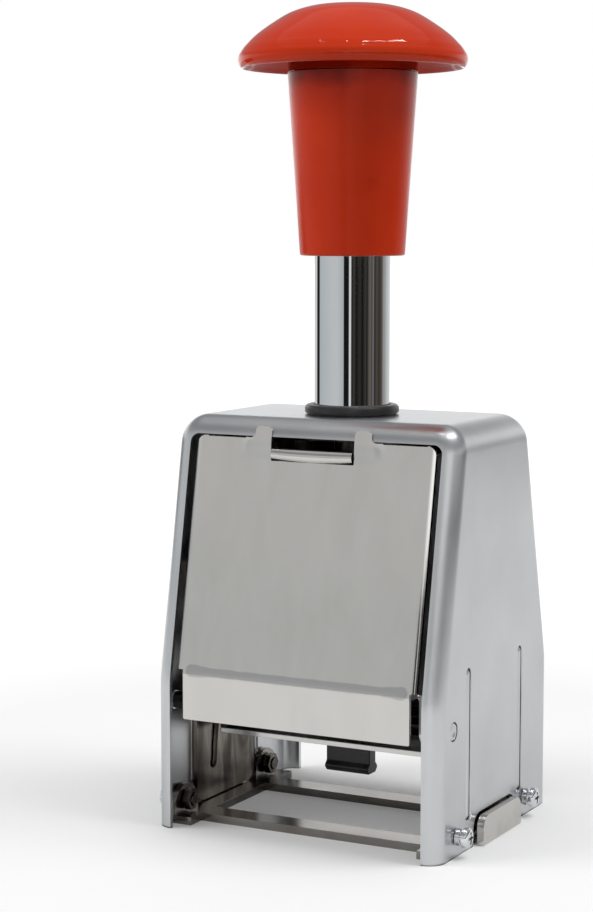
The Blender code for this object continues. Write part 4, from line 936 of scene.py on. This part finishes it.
# Ink cassette
# The ink tray is moulded in black. It hangs by its flanges between the bridge's rails, is pulled out by
# its ribbed rear end, and holds a flat felt pad, soaked with ink, in its underside.
RIB_COUNT = 9
RIB_PITCH = 0.0045
RIB_HALF = 0.0007
RIB_FOOT = 0.0499
RIB_HEAD = 0.0545
RIB_ROUND = RIB_HALF * 0.9
RIB_TAPER = (0.6, 0.93)
CASSETTE_END = 0.0289
CASSETTE_EDGE = 0.0003
RIB_PROUD = 0.0005
PAD_HALF = (0.0165, 0.0075)
PAD_FOOT = 0.0475
PAD_TOP = 0.0499
PAD_CORNER = 0.0015
PAD_ROUND = 0.0006


def inked_felt():
    """Wool felt soaked with black ink: matt and fibrous, wet where the wheels have pressed it."""
    finish = new_finish("inked_felt", Metallic=0.0, Sheen_Weight=0.25, Sheen_Roughness=0.5)
    fibre = speckle(finish, 2600, 6.0, (1, 1, 1), 2.5)
    wet = speckle(finish, 210, 3.0)
    colour = ramp(finish, fibre, [(0.35, (0.008, 0.008, 0.014)), (0.70, (0.045, 0.045, 0.060))])
    return coated(finish, colour, 0.95 - 0.45 * wet, [(fibre, 0.7, 0.00015)])


def stacked(levels, axis):
    """Outlines of equal length, each at its own place along an axis, joined into one grid."""
    rings = [across(axis, outline[:, 0], outline[:, 1], along) for outline, along in levels]
    return (np.stack(rings), False, True)


def pad_levels():
    """The pad's outline, drawn in by 1 - cos and raised by sin of a quarter turn at both edges."""
    turn = np.linspace(0, math.pi / 2, 6)
    inset = PAD_ROUND * (1 - np.cos(turn))
    low = PAD_FOOT + PAD_ROUND * (1 - np.sin(turn))
    steps = list(zip(inset[::-1], low[::-1])) + list(zip(inset, PAD_TOP - low + PAD_FOOT))
    levels = []
    for shrink, height in steps:
        corner = (PAD_HALF[0] - shrink, PAD_HALF[1] - shrink)
        outline = filleted(rectangle((-corner[0], -corner[1]), corner), PAD_CORNER - shrink, 8)
        levels.append((outline + (0, PLUNGER_Y), height))
    return levels


def rib_grid(middle):
    """A grip rib on the cassette's end: a slot shape that stands out of it and narrows to its crest."""
    base = filleted(rectangle((middle - RIB_HALF, RIB_FOOT), (middle + RIB_HALF, RIB_HEAD)), RIB_ROUND, 6)
    centre = (middle, (RIB_FOOT + RIB_HEAD) / 2)
    crest = (base - centre) * RIB_TAPER + centre
    levels = [(base, CASSETTE_END - RIB_PROUD), (base, CASSETTE_END), (crest, CASSETTE_END + RIB_PROUD)]
    return stacked(levels, "Y")


softened("ink_cassette", black, "black_plastic", "cassette", CASSETTE_EDGE)
ribs = [rib_grid((number - (RIB_COUNT - 1) / 2) * RIB_PITCH) for number in range(RIB_COUNT)]
fit(pressed("cassette_ribs", ribs, capped=True), black, "black_plastic", "cassette")
pad = pressed("felt_pad", [stacked(pad_levels(), "Z")], capped=True)
fit(pad, inked_felt(), "inked_felt", "cassette", "ink_pad")

# Yoke, tube, plug and knob screw
# The plunger is a chromed tube on a forked steel yoke. A plug is pressed into its head, and a screw
# through the plug pulls the grip and the knob down on it.
TUBE_RADIUS = 0.00825
TUBE_BORE = 0.00725
TUBE_FOOT = 0.0876
TUBE_TOP = 0.150
TUBE_ROUND = 0.0002

softened("carriage_yoke", oiled, "blackened_steel", "carriage")
tube_outline = filleted(rectangle((TUBE_BORE, TUBE_FOOT), (TUBE_RADIUS, TUBE_TOP)), TUBE_ROUND, 4)
tube = pressed("chromed_tube", [turned(tube_outline, "Z", PLUNGER_LINE, 160)])
fit(tube, chrome, "chrome_plate", "carriage", "plunger_tube")
softened("tube_plug", oiled, "blackened_steel", "carriage")
softened("knob_screw", oiled, "blackened_steel", "carriage")

# Grip and knob
# Both are moulded in glossy red. The grip is a hollow cone with a flat foot over the tube, and the knob
# a shallow dome with a rolled rim, hollow under it round the boss that stands on the grip.
GRIP_FOOT = 0.1257
GRIP_TOP = 0.1653
GRIP_FOOT_RADIUS = 0.0115
GRIP_TOP_RADIUS = 0.0142
GRIP_BORE = 0.00855
SCREW_BORE = 0.0027
GRIP_FLOOR = 0.1503
GRIP_ROUNDS = [0.0002, 0.0005, 0.0001, 0.0002, 0.0002, 0.0002]
KNOB_FOOT = 0.16545
KNOB_RADIUS = 0.0251
KNOB_HEIGHT = 0.0146
KNOB_BOSS = 0.0141
KNOB_ROOF = 0.1724
JOINT_SHADE_ROOF = (0.1705, KNOB_ROOF)
JOINT_SHADE_FADE = 0.0045
JOINT_SHADE_REACH = (0.0143, 0.0200)
JOINT_LINE = 0.0001
DOME = [(0, 1), (0.20, 0.99), (0.371, 0.959), (0.55, 0.863), (0.713, 0.699), (0.845, 0.534)]
DOME += [(0.930, 0.390), (0.957, 0.335), (0.976, 0.285), (0.993, 0.235), (1, 0.180)]
DOME += [(0.993, 0.115), (0.975, 0.062)]
UNDERSIDE = [(0.95, 0.06), (0.91, 0.14), (0.83, 0.25), (0.70, 0.31), (0.60, 0.325)]


def red_plastic():
    """Glossy moulded plastic: a faint waviness, swirl lines and a duller bloom where hands have rubbed.

    The grip is duller all over than the knob, and its colour is darkened where it meets the knob and under
    the knob, a painted shade."""
    finish = new_finish("red_plastic", Metallic=0.0, IOR=1.48, Specular_IOR_Level=0.21)
    bloom = speckle(finish, 70, 4.0)
    peel = speckle(finish, 900, 2.0)
    swirl = speckle(finish, 260, 2.0, (1, 1, 0.3), 1.5)
    right, back, up = place_axes(finish)
    reach = (right**2 + (back - PLUNGER_Y) ** 2) ** 0.5
    level = step_between(up, GRIP_TOP - JOINT_SHADE_FADE, GRIP_TOP) - step_between(up, *JOINT_SHADE_ROOF)
    painted_joint_shade = (1 - step_between(reach, *JOINT_SHADE_REACH)) * level
    shades = [(0.0, (0.260, 0.011, 0.002)), (0.35, (0.610, 0.033, 0.004)), (0.70, (0.660, 0.041, 0.006))]
    # Painted shade: the colour darkens where the grip meets the knob and under the knob.
    colour = ramp(finish, bloom - 0.45 * painted_joint_shade, shades)
    on_knob = step_between(up, GRIP_TOP - JOINT_LINE, GRIP_TOP)
    rough = 0.21 - 0.19 * on_knob + 0.04 * bloom
    return coated(finish, colour, rough, [(peel, 0.03, 0.00004), (swirl, 0.02, 0.00005)])


def through(points, steps=8):
    """A smooth line through points: each span is a cubic whose end slopes halve its neighbours' chords."""
    points = np.asarray(points, float)
    padded = np.concatenate([2 * points[:1] - points[1:2], points, 2 * points[-1:] - points[-2:-1]])
    before, start, end, after = (padded[shift : len(padded) - 3 + shift, None] for shift in range(4))
    share = np.linspace(0, 1, steps, endpoint=False)[None, :, None]
    slope = (end - before) * share + (2 * before - 5 * start + 4 * end - after) * share**2
    line = start + (slope + (3 * start - before - 3 * end + after) * share**3) / 2
    return np.concatenate([line.reshape(-1, 2), points[-1:]])


red = red_plastic()
corners = [(GRIP_BORE, GRIP_FOOT), (GRIP_FOOT_RADIUS, GRIP_FOOT), (GRIP_TOP_RADIUS, GRIP_TOP)]
corners += [(SCREW_BORE, GRIP_TOP), (SCREW_BORE, GRIP_FLOOR), (GRIP_BORE, GRIP_FLOOR)]
grip = pressed("grip", [turned(filleted(corners, GRIP_ROUNDS, 6), "Z", PLUNGER_LINE, 160)])
fit(grip, red, "red_plastic", "carriage", "grip_sleeve")
boss_top = KNOB_FOOT + UNDERSIDE[-1][1] * KNOB_HEIGHT
skin = through(np.array(DOME + UNDERSIDE) * (KNOB_RADIUS, KNOB_HEIGHT) + (0, KNOB_FOOT))
skin[:, 0] = np.maximum(skin[:, 0], 0)
boss = [(KNOB_BOSS, boss_top), (KNOB_BOSS, KNOB_FOOT), (SCREW_BORE, KNOB_FOOT), (SCREW_BORE, KNOB_ROOF)]
knob_outline = np.concatenate([skin, boss, [(0, KNOB_ROOF)]])
knob = pressed("knob", [turned(knob_outline, "Z", PLUNGER_LINE, 192)])
fit(knob, red, "red_plastic", "carriage", "knob_cap")

# Return spring
# A coil of hard wire stands on the post's collar inside the tube and lifts the plunger. Its ends are
# wound closer than its middle.
SPRING_RADIUS = 0.0052
WIRE_RADIUS = 0.0006
SPRING_FOOT = 0.0929
SPRING_TOP = 0.1456
SPRING_TURNS = 12
SPRING_CLOSE = 0.04


def spring_grid():
    """A round wire along a helix. It climbs by share - k sin(2 pi share), so it starts and ends slowly.

    Round the wire, points lie on the outward direction and on the one across it and the wire."""
    share = np.linspace(0, 1, SPRING_TURNS * 40 + 1)[:, None]
    turn = math.tau * SPRING_TURNS * share
    climb = share - SPRING_CLOSE * np.sin(math.tau * share)
    height = SPRING_FOOT + (SPRING_TOP - SPRING_FOOT) * climb
    out = np.concatenate([np.cos(turn), np.sin(turn), 0 * turn], axis=1)
    line = out * SPRING_RADIUS + np.concatenate([0 * turn, 0 * turn + PLUNGER_Y, height], axis=1)
    heading = np.gradient(line, axis=0)
    heading /= np.linalg.norm(heading, axis=1, keepdims=True)
    side = np.cross(heading, out)
    angle = np.linspace(0, math.tau, 12, endpoint=False)[None, :, None]
    grid = line[:, None] + WIRE_RADIUS * (np.cos(angle) * out[:, None] + np.sin(angle) * side[:, None])
    return (grid, False, True)


spring = pressed("coil_spring", [spring_grid()], capped=True)
fit(spring, chrome, "chrome_plate", "housing", "return_spring")
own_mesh(spring)

# Number unit
# A bent frame carries the wheels on its axle between two spacers. A crank on each end of the axle runs
# in a cam slot, and a leaf comb on the frame's plate holds each wheel at its digit.
SHADE_LEVEL = (0.0186, 0.0188)
UNIT_EDGE = 0.0002


def inked_plate():
    """The unit's plate: nickel at its foot, painted black over all that stands higher as painted shade."""
    finish = new_finish("inked_plate")
    bare = 1 - step_between(place_axes(finish)[2], *SHADE_LEVEL)
    stain = speckle(finish, 500, 4.0)
    shades = [(0.0, (0.012, 0.012, 0.013)), (0.30, (0.580, 0.572, 0.555)), (1.0, (0.660, 0.655, 0.640))]
    # Painted shade: all above the foot is black.
    colour = ramp(finish, bare * (0.30 + 0.70 * stain), shades)
    finish.fill(finish.shader, {"Metallic": bare})
    return coated(finish, colour, 0.50 - 0.36 * bare, [(stain, 0.08, 0.00008)])


softened("unit_frame", inked_plate(), "polished_nickel", "number_unit", UNIT_EDGE)
softened("detent_comb", polished, "polished_nickel", "number_unit")
softened("unit_axle", chrome, "chrome_plate", "number_unit")
for node in ("crank_left", "crank_right", "wheel_spacer_left", "wheel_spacer_right"):
    softened(node, oiled, "blackened_steel", "number_unit")

# Number wheels
# Six brass wheels turn on the axle. Each has ten flat faces with a raised digit on each, cut in mirror
# image so that it prints the right way round. Ink has dried in the low parts.
WHEEL_COUNT = 6
WHEEL_PITCH = 0.0052
WHEEL_WIDTH = 0.0049
WHEEL_BORE = 0.0022
WHEEL_CHAMFER = 0.0002
AXLE_PLACE = (PLUNGER_Y, 0.0372)
FACE_REACH = 0.0092
FACE_HALF = 0.0021
VALLEY_RADIUS = 0.0082
TYPE_REACH = 0.00972
TYPE_HEIGHT = 0.0040
TYPE_SUNK = 0.0002
TYPE_WORN = 0.0096
TYPE_FADE = 0.0004
CAPITAL_SHARE = 0.7
DIGITS = 10


def type_brass():
    """Engraved brass: worn bright on the printing faces, black with dried ink between them."""
    finish = new_finish("type_brass")
    back, up = place_axes(finish)[1:]
    reach = ((back - AXLE_PLACE[0]) ** 2 + (up - AXLE_PLACE[1]) ** 2) ** 0.5
    stain = speckle(finish, 700, 5.0)
    bare = (reach - TYPE_WORN) * (1 / TYPE_FADE) + stain
    colour = ramp(finish, bare, [(0.30, (0.012, 0.012, 0.016)), (0.70, (0.560, 0.420, 0.200))])
    finish.fill(finish.shader, {"Metallic": bare.larger(0.0).smaller(1.0)})
    return coated(finish, colour, 0.55 - 0.30 * stain, [(stain, 0.10, 0.00008)])


def wheel_outline():
    """A wheel from the side: ten flats, with a shallow valley between each two."""
    step = math.tau / DIGITS
    flat = math.atan2(FACE_HALF, FACE_REACH)
    valley = (step / 2 + flat) / 2
    corner = math.hypot(FACE_REACH, FACE_HALF)
    middles = math.pi / 2 + step * np.arange(DIGITS)[:, None]
    turns = (middles + (-valley, -flat, flat, valley)).ravel()
    reach = np.tile((VALLEY_RADIUS, corner, corner, VALLEY_RADIUS), DIGITS)
    return np.stack([reach * np.cos(turns), reach * np.sin(turns)], axis=1)


def wheel_levels(low):
    """The wheel's skin from its bore over both chamfered sides and back, as outlines along the axle."""
    outline = wheel_outline()
    bore = outline / np.linalg.norm(outline, axis=1, keepdims=True) * WHEEL_BORE
    inner = outline * (1 - WHEEL_CHAMFER / FACE_REACH)
    high = low + WHEEL_WIDTH
    levels = [(bore, low), (inner, low), (outline, low + WHEEL_CHAMFER)]
    levels += [(outline, high - WHEEL_CHAMFER), (inner, high), (bore, high)]
    return [(points + AXLE_PLACE, along) for points, along in levels]


def digit_grids(digit, middle):
    """The corners and faces of a raised digit, standing on its flat of the wheel round middle."""
    curve = bpy.data.curves.new("digit", "FONT")
    curve.body = str(digit)
    curve.size = TYPE_HEIGHT / CAPITAL_SHARE
    curve.resolution_u = 3
    curve.extrude = (TYPE_REACH - FACE_REACH + TYPE_SUNK) / 2
    letter = in_scene("digit", curve)
    graph = bpy.context.evaluated_depsgraph_get()
    mesh = bpy.data.meshes.new_from_object(letter.evaluated_get(graph))
    bpy.data.objects.remove(letter)
    points = np.zeros(len(mesh.vertices) * 3)
    mesh.vertices.foreach_get("co", points)
    points = points.reshape(-1, 3)
    points[:, :2] -= (points[:, :2].max(0) + points[:, :2].min(0)) / 2
    turn = math.pi / 2 + math.tau * digit / DIGITS
    out = np.array([0, math.cos(turn), math.sin(turn)])
    up = np.array([0, -math.sin(turn), math.cos(turn)])
    reach = (points[:, 2:] + (TYPE_REACH + FACE_REACH - TYPE_SUNK) / 2) * out
    placed = points[:, :1] * (1, 0, 0) + points[:, 1:2] * up + reach + (middle, *AXLE_PLACE)
    return placed, [tuple(face.vertices) for face in mesh.polygons]


def with_digits(wheel, middle):
    """The wheel with its ten digits added as shells of their own."""
    shape = bmesh.new()
    shape.from_mesh(wheel.data)
    for digit in range(DIGITS):
        placed, faces = digit_grids(digit, middle)
        mesh = bpy.data.meshes.new("digit")
        mesh.from_pydata(placed, [], faces)
        shape.from_mesh(mesh)
    bmesh.ops.remove_doubles(shape, verts=shape.verts, dist=WELD)
    bmesh.ops.recalc_face_normals(shape, faces=shape.faces)
    shape.to_mesh(wheel.data)
    shape.free()
    return wheel


brass = type_brass()
for number in range(1, WHEEL_COUNT + 1):
    middle = (number - (WHEEL_COUNT + 1) / 2) * WHEEL_PITCH
    grid, _, _ = stacked(wheel_levels(middle - WHEEL_WIDTH / 2), "X")
    wheel = pressed(f"digit_wheel_{number}", [(grid, True, True)])
    fit(with_digits(wheel, middle), brass, "type_brass", f"wheel_{number}", f"number_wheel_{number}")

# Pawl and selector
# A bracket rocks on the axle and carries the pawl that steps the wheels, on its own pin. The black slide
# under the unit sets how often each number repeats.
SELECTOR_EDGE = 0.00025

for node in ("pawl_bracket", "advance_pawl", "pawl_pin"):
    softened(node, oiled, "blackened_steel", "pawl")
softened("repeat_selector", black, "black_plastic", "selector", SELECTOR_EDGE)

# Studio
# The machine stands on a pale floor that fades into a white room, under two soft lamps. A tall round
# screen and the strips of light over it are seen only in reflections: the screen gives the plated parts
# their bands, and the strips draw the white lines on the knob.
ROOM_LIGHT = 0.42
ROOM_GLOSS = 0.10
FLOOR_REACH = 6.0
FLOOR_WHITE = 1.12
SCREEN_RADIUS = 0.42
SCREEN_FOOT = -0.05
SCREEN_TOP = 0.60
LOW_START = (0.030, 0.048)
LOW_END = (0.122, 0.134)
SOFT_END = (0.21, 0.28)
OVER_SHADE = (0.30, 0.30, 0.31, 1)
LIGHT_HEIGHT = 0.75
LIGHT_GLOW = 36.0
LIGHT_LINES = [
    (0.02, [(-0.165, -0.190), (-0.110, -0.207)]),
    (0.05, [(0.043, -0.209), (0.060, -0.206)]),
    (0.09, [(0.150, -0.157), (0.180, -0.122)]),
    (0.04, [(0.180, -0.122), (0.236, -0.042), (0.285, 0.075), (0.309, 0.163)]),
]


def light_path(finish, kind):
    """1 for rays of one kind, such as those from the camera or in a gloss."""
    return finish.node("ShaderNodeLightPath", output=f"Is {kind} Ray")


def room():
    """A world that is white to the camera, grey in a gloss, and soft light elsewhere."""
    world = bpy.data.worlds.new("room")
    world.use_nodes = True
    bpy.context.scene.world = world
    finish = Finish(world.node_tree)
    background = world.node_tree.nodes["Background"]
    plain = ROOM_LIGHT + (1 - ROOM_LIGHT) * light_path(finish, "Camera")
    plain = plain + ROOM_GLOSS * light_path(finish, "Glossy")
    finish.fill(background, {"Color": (1, 1, 1, 1), "Strength": plain})


def floor_finish():
    """Pale paper that keeps the cast shadow near the machine and fades to white away from it. Close in, the
    white glow is held low, and lowest again at about 0.14 m, a painted shadow round and inside the machine.

    To light that bounces off it towards the machine it is darker than to the camera."""
    finish = new_finish("floor", Roughness=0.9)
    shade = 0.97 - 0.50 * light_path(finish, "Diffuse") - 0.06 * light_path(finish, "Glossy")
    finish.fill(finish.shader, {"Base Color": shade})
    where = finish.node("ShaderNodeTexCoord", output="Object")
    reach = finish.node("ShaderNodeVectorMath", {"operation": "LENGTH"}, {0: where}, "Value")
    stops = [(0.04, 0.12), (0.06, 0.24), (0.09, 0.26), (0.14, 0.22), (0.20, 0.60), (0.29, 1.0)]
    # Painted shadow: the white glow is held low near the machine.
    white_glow_and_painted_shadow = ramp(finish, reach, stops)
    white = finish.node("ShaderNodeEmission", {}, {"Strength": FLOOR_WHITE})
    paper = Socket(finish, finish.shader.outputs[0])
    share = white_glow_and_painted_shadow * light_path(finish, "Camera")
    shown = finish.node("ShaderNodeMixShader", {}, {0: share, 1: paper, 2: white}, 0)
    finish.fill(finish.tree.nodes["Material Output"], {"Surface": shown})
    return finish.material


def glowing(finish, colour):
    """A plain light of one colour, or of a colour that changes."""
    return finish.node("ShaderNodeEmission", {}, {"Color": colour, "Strength": 1.0})


def screen_finish():
    """Bands of light round the room by bearing, in degrees from the machine's right, -90 in front of it.

    The lowest ones, level with the tube, are sharp and dark, the ones above are soft, and over those the
    screen is an even grey."""
    finish = new_finish("screen")
    right, back, up = place_axes(finish)
    bearing = back.math("ARCTAN2", back, right) * (0.5 / math.pi) + 0.5
    sharp = [(-180, (0.47, 0.51, 0.53)), (-126, (0.58, 0.59, 0.59)), (-108, (0.58, 0.59, 0.59))]
    sharp += [(-90, (0.44, 0.47, 0.48)), (-88.5, 0.008), (-74, 0.010), (-72, 0.80), (-68, 0.75)]
    sharp += [(-66, 0.012), (-58, (0.050, 0.044, 0.040)), (-52, 0.008), (-40, (0.035, 0.031, 0.028))]
    sharp += [(-33, 0.006), (-22, (0.050, 0.045, 0.041)), (-18, 0.010), (-8, (0.150, 0.135, 0.120))]
    sharp += [(-2, (0.070, 0.063, 0.056)), (4, (0.190, 0.180, 0.170)), (8, 0.020)]
    sharp += [(16, (0.080, 0.070, 0.060)), (28, (0.040, 0.035, 0.030)), (40, (0.110, 0.095, 0.080))]
    sharp += [(46, 0.30), (58, 0.38), (63, 0.50), (90, 0.70), (112, 0.55), (158, 0.70), (163, 0.015)]
    sharp += [(177, 0.015), (180, 0.40)]
    soft = [(-180, 0.85), (-135, 0.66), (-124, 0.61), (-100, 0.62), (-84, 0.72), (-76, 1.10), (-62, 1.40)]
    soft += [(-50, 1.40), (-40, 0.76), (5, 0.64), (30, 0.46), (48, 0.60), (62, 0.95), (85, 1.10)]
    soft += [(104, 1.45), (150, 1.40), (176, 0.85)]
    turns = [[((angle + 180) / 360, shade) for angle, shade in band] for band in (sharp, soft)]
    sharp, soft = (ramp(finish, bearing, stops) for stops in turns)
    off_tube = step_between(up, *LOW_END) + 1 - step_between(up, *LOW_START)
    glow = glowing(finish, sharp)
    for share, colour in ((off_tube, soft), (step_between(up, *SOFT_END), OVER_SHADE)):
        glow = finish.node("ShaderNodeMixShader", {}, {0: share, 1: glow, 2: glowing(finish, colour)})
    finish.fill(finish.tree.nodes["Material Output"], {"Surface": glow})
    return finish.material


def reflected_only(piece):
    """Hides a piece of the room from everything but gloss."""
    piece.visible_camera = False
    piece.visible_diffuse = False
    piece.visible_shadow = False


def lamp(name, place, aim, size, watts):
    """A square soft lamp that looks at a point."""
    light = bpy.data.lights.new(name, "AREA")
    light.shape = "SQUARE"
    light.size = size
    light.energy = watts
    holder = in_scene(name, light)
    holder.location = place
    holder.rotation_euler = (Vector(aim) - Vector(place)).to_track_quat("-Z", "Y").to_euler()
    holder.visible_glossy = False


room()
corner = np.array([[-FLOOR_REACH, FLOOR_REACH]])
floor = pressed("floor", [(grid_of(corner, corner.T, 0.0), False, False)])
floor.data.materials.append(floor_finish())
wall = [(SCREEN_RADIUS, SCREEN_FOOT), (SCREEN_RADIUS, SCREEN_TOP)]
spun, _, _ = turned(wall, "Z", (0, 0, 0), 256)
screen = pressed("screen", [(spun, True, False)])
screen.data.materials.append(screen_finish())
reflected_only(screen)
strips = []
for width, line in LIGHT_LINES:
    right, back = through(line).T[:, :, None] * np.array([1 - width, 1 + width])
    strips.append((grid_of(right, back, LIGHT_HEIGHT), False, False))
light_strips = pressed("light_strips", strips)
shine = new_finish("light_strips")
glow = shine.node("ShaderNodeEmission", {}, {"Strength": LIGHT_GLOW})
shine.fill(shine.tree.nodes["Material Output"], {"Surface": glow})
light_strips.data.materials.append(shine.material)
reflected_only(light_strips)
lamp("key", (0.46, 0.12, 0.85), (0, 0, 0.06), 0.45, 4.0)
lamp("fill", (-0.65, -0.50, 0.60), (0, 0, 0.09), 0.5, 3.6)
